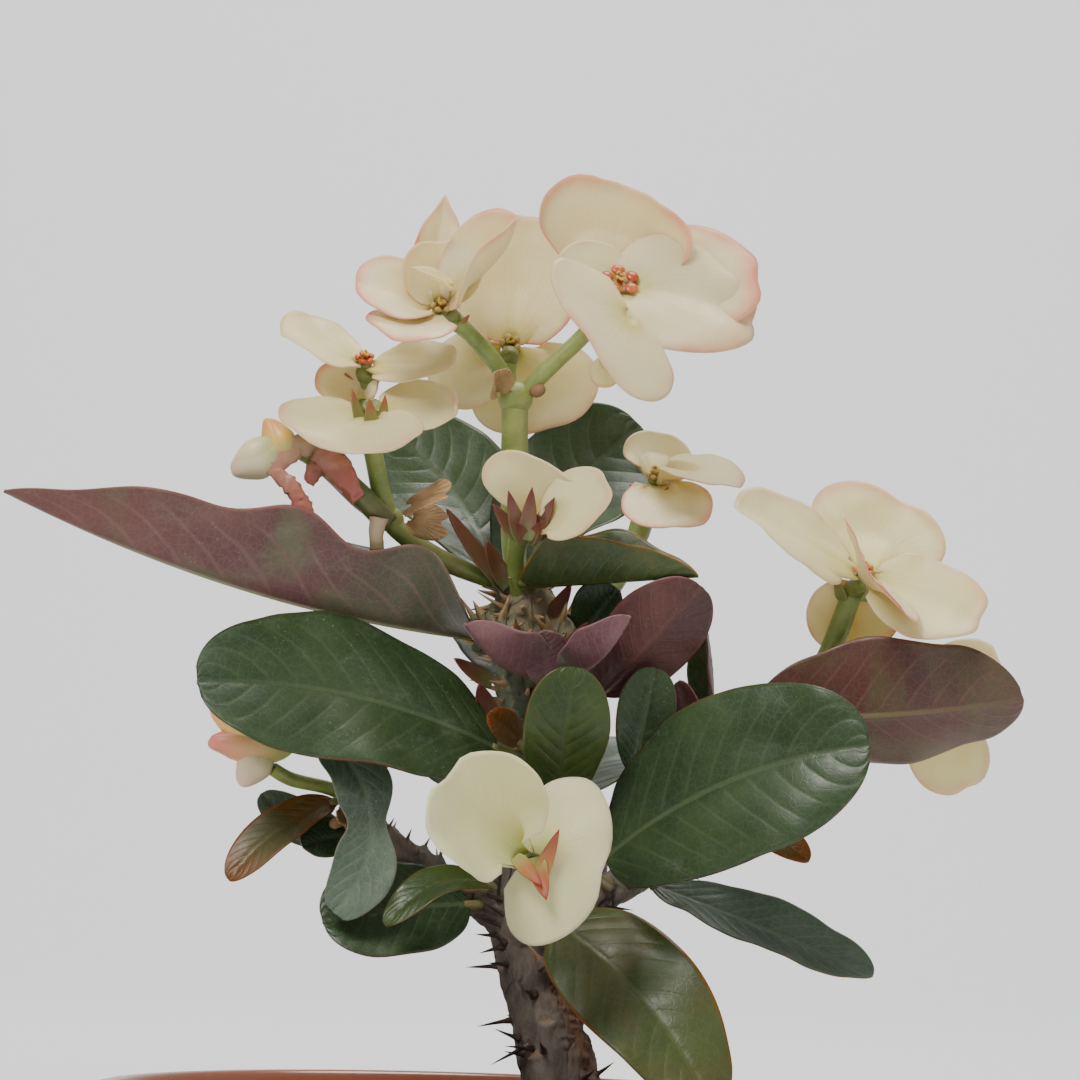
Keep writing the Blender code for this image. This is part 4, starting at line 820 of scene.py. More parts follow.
def build_leaf(row, seed, node=True, also=(), stalk=True):
    name, base, tip, bow, up0, up1, width, opt = row
    opt = {k: v for k, v in opt.items() if k in ("fold", "curl", "wave", "shape")}
    opt["nick"] = LEAF_NICK.get(name, ())
    big = np.linalg.norm(np.subtract(tip, base)) > 30
    P, a, q, x = leaf_grid(base, tip, bow, up0, up1, width, cols=30 if big else 20, rows=84 if big else 44, **opt)
    N = normals(P)
    # uneven blade: broad undulation, and a finer one that grows towards the margin
    r1, r2 = Ripple(seed, 26), Ripple(seed + 50, 9)
    soft = smooth(q * 5) * smooth((1 - q) * 6 + 0.1)
    lift = r1(P) * 0.55 * np.abs(a) * soft + r2(P) * 0.22 * a * a * soft
    P = P + N * lift[..., None]
    N = normals(P)
    v = vein_lines(a, q)
    h = 0.12 + 0.26 * (1 - a * a)
    top = P + N * (h - 0.30 * np.exp(-(x / 0.7) ** 2) - 0.17 * v)[..., None]
    # the midrib stands out below and tapers to the tip
    keel = 0.85 * np.exp(-(x / 0.95) ** 2) * (1 - 0.75 * q)
    bot = P - N * (h + keel + 0.10 * v)[..., None]
    m = Mesh()
    sheet_into(m, top, bot, a, q, (0, 1, 2), lx=x)
    s = nearest_stem(np.array(base, float))
    start = P[0, P.shape[1] // 2]
    T = unit(np.subtract(P[4, P.shape[1] // 2], start))
    end = s[:3] + unit(start - s[:3]) * max(0.0, s[3] - 0.8)
    mid = start - T * min(6.0, 0.45 * np.linalg.norm(start - end))
    c = spline([start + T * 1.2, start - T * 0.2, (mid + (start + end) / 2) / 2, end], 6)
    rad = np.interp(np.linspace(0, 1, len(c)), [0, 0.2, 0.8, 1], [0.72, 0.86, 0.95, 1.5])
    if stalk:
        V, F = tube_geo(c, rad, 10)
        m.add(V, F, 3, lq=0.0, la=0.0, lx=0.0)
    up, under = LEAF_LOOK[name]
    ob = m.piece(name + ("_blade" if node else ""), [MAT[up], MAT[under], MAT[under], MAT["petiole"]])
    if node:
        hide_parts(name, *also)
    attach(ob, "root")
    return ob


for k, row in enumerate(LEAVES):
    # the two halves of the curved leaf on the side branch are one twisted blade
    if row[0] == "leaf_side_curved_down":
        continue
    if row[0] == "leaf_side_curved_up":
        build_leaf((row[0], (-29.6, -24, 200.3), (-26.6, -28, 165.8), (8.2, -1.5, 0.5), (0.35, -0.85, 0.35), (-0.15, -0.95, 0.25), 14, dict(fold=(12, 24), curl=(-10, -14), wave=(0.6, 2, 0.4), shape=(0.28, 0.30))), 100 + k, also=("leaf_side_curved_down",), stalk=False)
        continue
    build_leaf(row, 100 + k)


# flower: centre, direction it faces, radius of the cup, length of the neck below it
CENTRES = {
    "flower1": ((25.2, -10.5, 292.2), (0.15, -0.75, 0.62), 3.1, (22.5, -2.6, 287.5)),
    "flower2": ((-10.2, -12.5, 285.6), (0.15, -0.6, 0.8), 1.6, (-8.2, -9.0, 283.6)),
    "flower3": ((3.8, 8.6, 280.2), (0, -0.85, 0.5), 1.8, (3.7, 3.4, 277.0)),
    "flower4": ((-24.9, -9.5, 275.0), (0.1, -0.6, 0.8), 1.6, (-24.8, -6.6, 271.2)),
    "flower5": ((-22.9, -14.5, 265.4), (0.05, -0.7, 0.7), 2.3, (-23.6, -10.0, 262.0)),
    "flower6": ((8.4, -14.2, 243.4), (0.1, -0.7, 0.7), 1.7, (7.0, -12, 241.0)),
    "flower7": ((34.0, 12.4, 254.6), (0, -0.5, 0.85), 1.5, (32.6, 13, 250.5)),
    "flower8": ((75.4, -14.0, 236.0), (0.05, -0.68, 0.73), 1.6, (73.5, -7.6, 232.0)),
    "flower9": ((11.6, -47.0, 177.2), (0.1, -0.95, 0.25), 2.4, (10.5, -41, 178.5)),
    "flower10": ((90.0, 14.5, 211.0), (0.1, -0.85, 0.5), 2.0, (86.3, 10.6, 208.4)),
}


# ---------------------------------------------------------------- petals
PETAL_LOOK = {"flower1": "petal_blush", "flower3_petal_up": "petal_blush", "flower8_petal_front": "petal_blush", "flower7_petal_front": "petal_blush", "flower9": "petal_green", "flower2": "petal_blush"}
PETAL_EXTRA = {
    "flower9_petal_left": dict(fold=30, cup=26, uneven=0.02, wave=(0.10, 2.4, 0.9)),
    "flower9_petal_right": dict(fold=-8, uneven=0.03),
    "flower8_petal_front": dict(lift=0, cup=12, fold=8),
    "flower1_petal_back": dict(cup=34, fold=8, uneven=0.04, curl_edge=14),
    "flower1_petal_right": dict(cup=-26, curl_edge=-22),
}


# petals whose finished shape is set a little differently from the plain solid: base, tip, upper side, width
PETAL_SHIFT = {
    "flower1_petal_front": ((27.6, -20, 285.2), (18.4, -28.5, 277.6), (0.60, -0.60, 0.52), 34),
    "flower6_petal_up": ((8.8, -13.5, 245.4), (13.2, -18.5, 256.6), (0, -0.9, 0.4), 25),
    "flower6_petal_right": ((12.0, -20, 243.6), (24.6, -26.5, 251.6), (-0.1, -0.85, 0.5), 15),
    "flower8_petal_up_right": ((75.2, -5, 238.2), (83.5, 0.5, 252.0), (-0.05, -0.85, 0.5), 29),
    "flower8_petal_front": ((76.4, -17, 236.4), (75.6, -33, 233.0), (0.79, -0.24, 0.60), 26),
    "flower4_petal_left": ((-26.5, -8, 274.8), (-43.0, -11, 280.0), (0.1, -0.42, 0.9), 20),
    "flower5_petal_front": ((-24.5, -15, 265), (-30.5, -28, 255.0), (0, -0.5, 0.85), 31),
}


def build_petal(row, seed, node=True, mat=None, thick=1.0, rough=1.0):
    name, base, tip, up, width, opt = row
    base, tip, up, width = PETAL_SHIFT.get(name, (base, tip, up, width))
    opt = {k: v for k, v in opt.items() if k not in ("cols", "rows")}
    opt.setdefault("uneven", 0.030)
    opt.setdefault("turn", 1.7 * seed)
    opt.update(PETAL_EXTRA.get(name, {}))
    P, a, s = bract_grid(base, tip, up, width, **opt)
    hub = CENTRES.get(name.split("_")[0]) if node else None
    if hub is not None and name != "flower1_petal_front":
        # the narrow foot of the petal runs in to the flower's centre
        c, ax, r, _ = hub
        b = np.array(base, float)
        out = unit(np.subtract(tip, base))
        foot = np.array(c, float) - unit(ax) * 0.9 + unit(out - np.dot(out, unit(ax)) * unit(ax)) * r * 0.5
        P = P + (foot - b) * (1 - smooth(s / 0.42))[..., None]
    N = normals(P)
    r1, r2 = Ripple(seed, 15), Ripple(seed + 70, 6)
    lift = (r1(P) * 1.05 * s ** 1.5 + r2(P) * 0.30 * s ** 3) * rough
    P = P + N * lift[..., None]
    N = normals(P)
    h = (0.10 + 0.20 * (1 - s ** 3)) * thick
    rel = 0.05 * np.abs(np.sin(a * 17 * pi)) * smooth((1 - s) * 2)
    top = P + N * (h - rel)[..., None]
    bot = P - N * (h + rel)[..., None]
    m = Mesh()
    sheet_into(m, top, bot, a, s, (0, 0, 0))
    mt = MAT[mat] if mat else MAT[PETAL_LOOK.get(name, PETAL_LOOK.get(name.split("_")[0], "petal"))]
    ob = m.piece(name + ("_shape" if node else ""), [mt])
    if node:
        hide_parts(name)
    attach(ob, "root")
    return ob


for k, row in enumerate(BRACTS):
    build_petal(row, 300 + k)


def place(ob, slot, *nodes):
    if nodes:
        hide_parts(*nodes)
    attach(ob, "root")
    return ob


# ---------------------------------------------------------------- flower centres
def cyathium(mesh, centre, axis, r, neck, seed, glands=True):
    c, T = np.array(centre, float), unit(axis)
    A = unit(np.array((0.3, 0.9, 0.2)) - np.dot((0.3, 0.9, 0.2), T) * T)
    B = np.cross(T, A)
    rnd = np.random.RandomState(seed)
    # green neck widening from the stalk into the cup
    k = spline([np.array(neck) - T * 0.5, np.array(neck) + T * 1.2, c - T * 2.6, c - T * 1.0, c], 5)
    n = len(k)
    rad = np.interp(np.linspace(0, 1, n), [0, 0.3, 0.65, 0.85, 1], [1.75, 1.9, r * 0.78, r * 1.0, r * 0.86])
    V, F = tube_geo(k, rad, 20)
    mesh.add(V, F, 1, lq=0)
    # bowl
    prof = [(0.86, 0.0), (0.95, 0.35), (0.86, 0.8), (0.66, 0.7), (0.45, 0.25), (0.2, 0.1), (0.02, 0.1)]
    seg = 24
    V = [c + T * z + r * f * (cos(2 * pi * i / seg) * A + sin(2 * pi * i / seg) * B) for f, z in prof for i in range(seg)]
    F = [(j * seg + i, j * seg + (i + 1) % seg, (j + 1) * seg + (i + 1) % seg, (j + 1) * seg + i) for j in range(len(prof) - 1) for i in range(seg)]
    F += [tuple(range(seg - 1, -1, -1)), tuple(range((len(prof) - 1) * seg, len(prof) * seg))]
    mesh.add(V, F, 2, lq=0)
    if glands:
        for i in range(5):
            f = 2 * pi * (i + 0.5) / 5 + rnd.rand() * 0.2
            d = cos(f) * A + sin(f) * B
            V, F, t = blob(c + d * r * 0.92 + T * 0.75, (r * 0.46, 0.55, r * 0.40), np.cross(T, d), 14, 10, 0.0, up=T, dent=0.0)
            mesh.add(V, F, 0, lq=t)
        for i in range(9):
            f = 2 * pi * i / 9 + rnd.rand() * 0.5
            d = cos(f) * A + sin(f) * B
            s0 = c + d * r * 0.22 * rnd.rand() + T * 0.1
            s1 = s0 + T * (1.5 + 0.8 * rnd.rand()) + d * 0.35
            V, F = tube_geo([s0, (s0 + s1) / 2, s1], [0.16, 0.13, 0.12], 6)
            mesh.add(V, F, 0, lq=0)
            for sgn in (-1, 1):
                V, F, t = blob(s1 + np.cross(T, d) * 0.2 * sgn, (0.26, 0.24, 0.24), T, 8, 6, 0)
                mesh.add(V, F, 3, lq=t)


def tooth(mesh, base, tip, up, width, mat=0, fold=26, bow=0.6, thick=0.28, shape=(0.3, 0.85)):
    """Small pointed scale leaf, hollow towards the side it faces."""
    P, a, q, x = leaf_grid(base, tip, unit(up) * -bow, up, up, width, fold=(fold, fold), curl=(12, 12), shape=shape, cols=10, rows=20, neck=width * 0.34, point=0.12)
    N = normals(P)
    h = thick * (1 - 0.5 * np.abs(a))
    sheet_into(mesh, P + N * h[..., None], P - N * h[..., None], a, q, (mat, mat, mat), lx=x)


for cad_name, (centre, axis, r, neck) in CENTRES.items():
    m = Mesh()
    cyathium(m, centre, axis, r, neck, 10 + int(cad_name[6:]), glands=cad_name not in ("flower6", "flower9", "flower5"))
    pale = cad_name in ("flower3", "flower2", "flower10", "flower7")
    place(m.piece(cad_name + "_centre", [MAT["gland_pale" if pale else "gland"], MAT["cup_green"], MAT["cup_green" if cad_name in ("flower6", "flower9", "flower5", "flower3", "flower2") else "cup"], MAT["anther"]]), "bud_pink")

# pointed bracteoles round some of the flower heads
m = Mesh()
tooth(m, (-24.5, -15.5, 261.0), (-26.9, -18.5, 268.8), (0.5, -0.9, 0.2), 2.7)
tooth(m, (-22.6, -16.5, 260.2), (-23.4, -20.0, 266.8), (0, -1, 0.3), 3.4)
tooth(m, (-21.2, -15.5, 261.0), (-20.4, -18.5, 267.8), (-0.4, -0.9, 0.2), 2.8)
tooth(m, (-23.2, -12.4, 261.0), (-23.6, -9.4, 266.5), (0, 1, 0.3), 3.0)
place(m.piece("flower5_bracteoles", [MAT["tooth"]]), "green_stalk")
m = Mesh()
for b, t, w in [((7.0, -15.0, 240.8), (1.6, -19.0, 247.0), 3.8), ((7.4, -16.0, 240.4), (4.6, -20.6, 249.6), 3.6), ((8.4, -16.4, 240.2), (9.2, -21.6, 250.4), 3.8),
                ((9.4, -16.0, 240.6), (13.6, -20.6, 248.6), 3.6), ((9.6, -15.2, 241.0), (15.8, -18.6, 245.2), 3.2), ((8.4, -15.0, 239.6), (6.4, -21.0, 243.6), 3.4), ((8.8, -15.0, 239.8), (11.4, -21.0, 244.0), 3.2)]:
    tooth(m, b, t, (0, -1, 0.35), w, bow=0.9, fold=30)
place(m.piece("flower6_calyx", [MAT["tooth_maroon"]]), "green_stalk")
m = Mesh()
tooth(m, (12.6, -47.6, 173.5), (16.6, -49.4, 184.0), (0.1, -1, 0.1), 3.2, bow=0.2)
tooth(m, (12.0, -47.8, 178.5), (14.6, -50.0, 170.6), (0.1, -1, -0.1), 4.4, bow=0.5, fold=34)
tooth(m, (8.4, -48.5, 178.6), (13.6, -50.0, 173.2), (0, -1, 0.2), 3.2, bow=0.4, fold=30)
tooth(m, (5.2, -48.5, 178.2), (-1.4, -49.6, 176.2), (0, -1, 0.1), 3.6, bow=0.4, fold=30)
tooth(m, (8.0, -45.0, 180.4), (3.2, -48.0, 181.2), (0, -1, 0.1), 3.0, 1, bow=0.3, fold=10)
place(m.piece("flower9_bracteoles", [MAT["tooth_orange"], MAT["cup_green"]]), "bud_pink")
m = Mesh()
for b, t, w in [((71.6, -8.5, 230.6), (69.6, -12.2, 235.2), 2.6), ((75.6, -9.5, 230.6), (78.2, -13.0, 234.8), 2.8), ((73.6, -6.2, 230.6), (73.8, -3.2, 235.2), 2.8)]:
    tooth(m, b, t, np.subtract(t, b) * (1, 1, 0) + (0, 0, 0.1), w, bow=0.4)
for b, t, w in [((21.0, -2.4, 286.0), (18.2, -6.0, 289.8), 2.8), ((24.2, -2.6, 285.8), (28.4, -5.4, 289.0), 2.8), ((22.4, -1.2, 286.0), (22.4, 2.6, 289.6), 2.8)]:
    tooth(m, b, t, np.subtract(t, b) * (1, 1, 0) + (0, 0, 0.1), w, bow=0.4)
for b, t, w in [((31.0, 12.0, 249.0), (28.8, 9.4, 253.0), 2.4), ((34.2, 12.0, 249.0), (36.6, 9.2, 252.6), 2.4), ((-9.6, -8.4, 281.6), (-13.0, -10.6, 283.6), 2.4), ((-6.8, -8.6, 282.0), (-4.4, -11.4, 284.6), 2.4),
                ((-26.0, -6.2, 269.6), (-28.8, -8.2, 272.4), 2.2), ((-23.6, -6.4, 269.6), (-21.4, -8.6, 272.6), 2.2)]:
    tooth(m, b, t, np.subtract(t, b) * (1, 1, 0) + (0, 0, 0.1), w, bow=0.4)
place(m.piece("flower_bracteoles", [MAT["tooth"]]), "green_stalk")

# ---------------------------------------------------------------- flower stalks
def stalks(name, rows_, mat, node, knots=(), seg=18):
    m = Mesh()
    rip = Ripple(len(rows_) + 40, 9)
    for row in rows_:
        s = spline(row, 7)
        s[:, 3] *= 1 + 0.04 * rip(s[:, :3])
        V, F = tube_geo(s[:, :3], s[:, 3], seg)
        m.add(V, F)
    for c, half, ax in knots:
        V, F, t = blob(c, half, ax, 18, 12, 0)
        m.add(V, F)
    return place(m.piece(name, [MAT[mat]]), "green_stalk", *([node] if node else []))


stalks("flower_stalk_top_shape", STALK_TOP, "stalk", "flower_stalk_top", [((5.2, -2.2, 269), (3.4, 3.3, 3.6), (0, 0, 1))], 24)
stalks("flower_stalk_left_shape", STALK_LEFT, "stalk", "flower_stalk_left", [((-18.5, -8.6, 243.6), (2.6, 2.4, 2.5), (0, 0, 1))])
stalks("flower_stalk_right_shape", STALK_RIGHT, "stalk", "flower_stalk_right")
stalks("flower_stalks_side", SIDE_STALKS, "stalk", None)
stalks("broken_stalk", [[(-19, -11.5, 242.5, 2.2), (-24, -12.5, 247.5, 2.3), (-29.0, -13.5, 252.0, 2.1), (-31.5, -14.2, 254.8, 1.7)]], "stalk_dark", None)

# ---------------------------------------------------------------- buds
def buds(name, rows_, node, looks):
    m = Mesh()
    for k, (c, half, ax) in enumerate(rows_):
        V, F, t = blob(c, (half[0] * 1.16, half[1] * 1.2, half[2] * 1.2), ax, 26, 20, 0.35, dent=0.0)
        rip = Ripple(k + 70, 5)
        V = V + (V - np.array(c)) * (0.035 * rip(V))[:, None]
        m.add(V, F, looks[k], lq=t)
        # the second bract wraps half of the bud and leaves a lip along its length
        T = unit(ax)
        Bv = unit(np.cross(T, (0, -1, 0.2)))
        cc = np.array(c) + np.array((0, -0.35, 0)) + Bv * half[2] * 0.28
        V, F, t = blob(cc, (half[0] * 1.08, half[1] * 1.16, half[2] * 0.98), ax, 26, 20, 0.45)
        m.add(V, F, looks[k], lq=t)
    return place(m.piece(name, [MAT["bud"], MAT["bud_cream"], MAT["bud_yellow"]]), "bud_pink", node)


buds("buds_side_shape", BUDS_SIDE, "buds_side", [0, 2, 1])
buds("buds_left_shape", BUDS_LEFT, "buds_left", [2, 1])

# ---------------------------------------------------------------- stem
KNOBS = [((15.0, -3.0, 221.0), (5.2, 4.8, 6.6), (0.35, 0, 1)), ((2.6, -3.2, 221.5), (4.8, 4.6, 6.2), (-0.3, 0, 1)), ((16.6, -2.0, 212.0), (4.2, 4.2, 5.2), (0.4, 0, 1))]


def stem():
    m = Mesh()
    for row, seg in ((TRUNK, 28), (RIGHT, 20), (LEFT, 20)):
        s = spline(row, 8)
        V, F = tube_geo(s[:, :3], np.maximum(s[:, 3], 0.5), seg)
        m.add(V, F)
    # swollen shoulders where the shoots and the old leaf bases sit
    for c, half, ax in KNOBS + [((8.8, -0.5, 226), (7.0, 6.0, 6.4), (0, 0, 1)), ((9.6, -1, 215), (7.5, 6.6, 6.4), (0.1, 0, 1)), ((10.4, -2, 201), (6, 6.0, 6.4), (0, 0, 1)),
                        ((-21.5, -11.5, 183.5), (4.2, 3.4, 3.6), (-1, 0, 0.8)), ((11, -1.5, 188), (6, 6.2, 6.3), (0, 0, 1)), ((10.0, -0.5, 164), (6.5, 6.2, 6.4), (0.2, 0, 1)), ((55, 2.6, 197), (6, 4.4, 4.6), (1, 0, 1)), ((40, 3.6, 182), (4, 4.4, 4.4), (1, 0, 0.8))]:
        V, F, t = blob(c, half, ax, 20, 14, 0)
        m.add(V, F)
    # every spine of the young wood stands on a small hump
    for base, d, length, w, kind, T in SPINES:
        if kind > 0.05:
            V, F, t = blob(base - d * 0.3 - T * 0.5, (1.9, 1.5, 1.5), d + T * 0.4, 10, 8, 0.4)
            m.add(V, F)
    ob = m.piece("stem_bark", [MAT["bark"]])
    mod = ob.modifiers.new("r", "REMESH")
    mod.mode = "VOXEL"
    mod.voxel_size = 0.00052
    dg = bpy.context.evaluated_depsgraph_get()
    me = bpy.data.meshes.new_from_object(ob.evaluated_get(dg))
    ob.modifiers.clear()
    old = ob.data
    ob.data = me
    bpy.data.meshes.remove(old)
    n = len(me.vertices)
    co = np.zeros(n * 3)
    me.vertices.foreach_get("co", co)
    P = co.reshape(-1, 3) / MM
    no = np.zeros(n * 3)
    me.vertices.foreach_get("normal", no)
    N = no.reshape(-1, 3)
    z = P[:, 2]
    stretch = P * (1, 1, 0.42)
    big, mid, fine = Ripple(1, 9)(P), Ripple(2, 3.6)(stretch), Ripple(3, 1.5, 24)(stretch)
    young = smooth((z - 176) / 26)
    right = smooth((P[:, 0] - 26) / 10) * (z > 160)
    young = np.where(P[:, 0] > 24, 0.45 * right + 0 * z, young)
    low = 1 - smooth((z - 150) / 20)
    d = 0.34 * big + 0.30 * mid + 0.14 * fine
    # rough corky flank on the right of the old wood
    ang = np.arctan2(P[:, 1] + 1.0, P[:, 0] - np.interp(z, [r[2] for r in TRUNK], [r[0] for r in TRUNK]))
    cork = np.exp(-((ang + 0.45) / 0.5) ** 2) * low * smooth((z - 112) / 4)
    d = d + cork * (0.75 * np.abs(Ripple(4, 2.6, 20)(P)) + 0.35 * fine + 0.2)
    for c, rr, dep in [((24.3, -5.0, 136.4), 1.5, 1.9), ((21.5, -6.3, 128.2), 1.1, 1.0), ((25.8, -2.6, 143.2), 1.0, 0.9)]:
        d = d - dep * np.exp(-(np.linalg.norm(P - c, axis=1) / rr) ** 2)
    # knobbly young growth
    d = d + young * (0.55 * np.maximum(0, Ripple(5, 4.2, 18)(P)) - 0.1)
    scar = np.zeros(n)
    for c in SCARS:
        e = np.linalg.norm((P - c) * (1, 1, 1.55), axis=1)
        inner = smooth((1.75 - e) / 0.5)
        rim = np.exp(-((e - 1.9) / 0.42) ** 2)
        d = d * (1 - inner) + inner * 0.15 + 0.32 * rim
        scar = np.maximum(scar, inner)
    P = P + N * d[:, None]
    me.vertices.foreach_set("co", (P * MM).ravel())
    for nm, v in (("young", young), ("scar", scar), ("cork", np.clip(cork, 0, 1))):
        me.attributes.new(nm, "FLOAT", "POINT").data.foreach_set("value", v.astype(np.float32))
    me.materials.clear()
    me.materials.append(MAT["bark"])
    me.shade_smooth()
    me.update()
    return place(ob, "stem_bark", "stem")


def trunk_frame(row, s):
    c = spline(row, 12)
    L = np.concatenate([[0], np.cumsum(np.linalg.norm(np.diff(c[:, :3], axis=0), axis=1))])
    i = min(int(np.searchsorted(L, s * L[-1])), len(c) - 2)
    T = unit(c[i + 1, :3] - c[max(i - 1, 0), :3])
    A = unit(np.array((0.1, 1, 0.2)) - np.dot((0.1, 1, 0.2), T) * T)
    return c[i, :3], c[i, 3], T, A, np.cross(T, A)


# leaf scars climb the old wood in a spiral, each between two spines
SCARS, SPINES = [], []
rnd = np.random.RandomState(7)
SCARS.append(np.array((15.6, -7.0, 145.2)))
for k in range(15):
    p, r, T, A, B = trunk_frame(TRUNK, 0.17 + 0.026 * k)
    f = 2.39996 * k + 0.9
    d = cos(f) * A + sin(f) * B
    at = p + d * r
    if np.linalg.norm(at - SCARS[0]) > 7:
        SCARS.append(at)
    for side in (-1, 1):
        g = f + side * 2.1 / r
        e = cos(g) * A + sin(g) * B
        SPINES.append((p + e * (r - 0.6), unit(e + 0.25 * side * np.cross(T, e) + T * (0.1 + 0.3 * rnd.rand())), 5.0 + 3.0 * rnd.rand(), 0.62, 0.0, T))
# close rows of spines higher up and on the side branches
for row, s0, s1, count, lo, hi, w, kind in [(TRUNK, 0.50, 0.66, 22, 4.5, 8.0, 0.6, 0.1), (TRUNK, 0.64, 0.985, 120, 3.6, 7.6, 0.82, 0.9), (RIGHT, 0.38, 0.99, 44, 4.0, 7.5, 0.55, 0.15), (LEFT, 0.30, 0.99, 30, 3.0, 5.5, 0.5, 0.3)]:
    for k in range(count):
        p, r, T, A, B = trunk_frame(row, s0 + (s1 - s0) * (k + rnd.rand() * 0.7) / count)
        f = 2.39996 * k + rnd.rand() * 0.6
        e = cos(f) * A + sin(f) * B
        SPINES.append((p + e * (r - 0.5), unit(e + np.cross(T, e) * (rnd.rand() - 0.5) * 0.7 + T * (0.45 * rnd.rand())), lo + (hi - lo) * rnd.rand(), w, min(1, max(0, kind + 0.3 * (rnd.rand() - 0.5))), T))
# spines of the knobs of new growth round the tip
for c, half, ax in KNOBS:
    for k in range(17):
        h = 0.9 - 1.5 * (k + 0.5) / 17
        f = 2.39996 * k + rnd.rand() * 0.5
        e = np.array((sqrt(1 - h * h) * cos(f), -abs(sqrt(1 - h * h) * sin(f)), h))
        at = np.array(c, float) + e * (half[0], half[1], half[0] + 1.0) * 0.9
        SPINES.append((at, unit(e + (0, 0, 0.35) + (rnd.rand(3) - 0.5) * 0.5), 3.4 + 3.2 * rnd.rand(), 0.82, 0.9, np.array((0, 0, 1.0))))
# spines that stand out against the light
for b, t, w, kind in [((12.6, -6.2, 140.6), (4.6, -9.0, 136.4), 0.62, 0), ((10.2, -5.0, 141.5), (5.2, -8.6, 143.2), 0.55, 0), ((13.2, -5.6, 139.6), (7.4, -10.0, 140.4), 0.55, 0), ((24.0, -5.0, 133.2), (31.4, -6.5, 133.8), 0.62, 0),
                      ((14.0, -7.4, 157.0), (10.4, -11.5, 161.9), 0.62, 0.85), ((25.0, 0.4, 168.0), (32.2, -7.0, 168.2), 0.62, 0), ((6.8, -4.0, 163.6), (0.8, -7.5, 165.2), 0.6, 0), ((5.8, -3.6, 161.8), (0.8, -7.5, 161.6), 0.6, 0),
                      ((6.2, -4.2, 159.6), (1.8, -8.0, 158.2), 0.6, 0), ((7.2, -4.4, 165.6), (2.2, -8.0, 168.2), 0.6, 0), ((6.6, -4.6, 160.4), (3.6, -9.6, 162.6), 0.55, 0), ((47.0, 2.6, 206.2), (52.6, 0.6, 211.2), 0.65, 0.35),
                      ((46.0, 1.0, 205.0), (50.2, -1.6, 212.4), 0.6, 0.35), ((4.6, -5.0, 227), (-1.4, -8.0, 229.5), 0.6, 0.9), ((3.8, -4.0, 222), (-2.0, -7.0, 221.2), 0.6, 0.9)]:
    dv = np.subtract(t, b)
    SPINES.append((np.array(b, float), unit(dv), float(np.linalg.norm(dv)), w, kind, np.array((0, 0, 1.0))))


def thorns():
    m = Mesh()
    r = np.random.RandomState(11)
    for base, d, length, w, kind, T in SPINES:
        bend = unit(T - np.dot(T, d) * d) * length * (0.16 * (r.rand() - 0.35))
        ts = np.array([0, 0.10, 0.28, 0.52, 0.76, 0.92, 1.0])
        pts = [base + d * length * t + bend * t * t for t in ts]
        rad = w * np.array([1.75, 1.15, 0.72, 0.50, 0.30, 0.13, 0.03])
        V, F = tube_geo(pts, rad, 8)
        m.add(V, F, along=np.repeat(ts, 8), kind=kind)
    return place(m.piece("stem_spines", [MAT["thorn"]]), "stem_bark")


stem()
thorns()

m = Mesh()
c = spline([(-20.6, -24.0, 183.6), (-20.8, -21.5, 184.6), (-21.8, -17.5, 184.6), (-22.2, -13.5, 184.2)], 6)
V, F = tube_geo(c, np.interp(np.linspace(0, 1, len(c)), [0, 0.5, 1], [0.9, 1.0, 1.5]), 10)
m.add(V, F)
place(m.piece("curved_leaf_stalk", [MAT["petiole"]]), "green_stalk")

# twisted young leaves and dry scales at the growing tip
m = Mesh()
for b, t, w, up, mt in [((4.5, -6.0, 230.5), (-7.5, -12.0, 246.0), 5.8, (0.5, -0.7, 0.5), 0), ((5.0, -6.5, 231), (0.5, -12.0, 240.0), 4.6, (0.3, -0.9, 0.3), 0), ((8.6, -5.0, 229), (9.6, -10.5, 237.0), 3.8, (-0.3, -0.9, 0.3), 1),
                        ((12, -4, 222), (17.5, -9, 232.0), 5.0, (-0.2, -0.9, 0.5), 1), ((14, -6, 216), (21.0, -12, 224.5), 4.4, (-0.2, -0.9, 0.5), 1), ((2.5, -6, 212), (-5.0, -12, 216.5), 4.6, (0.1, -0.9, 0.5), 1),
                        ((3.0, -7, 203), (0.0, -13, 211.5), 5.6, (0.2, -1, 0.1), 1), ((14.0, -8, 197), (17.5, -14, 205.5), 5.8, (-0.2, -1, 0.1), 2)]:
    tooth(m, b, t, up, w, mt, bow=1.4, fold=34, thick=0.3, shape=(0.35, 0.7))
place(m.piece("shoot_scales", [MAT["tooth_rust"], MAT["tooth_maroon"], MAT["tooth"]]), "stem_bark")

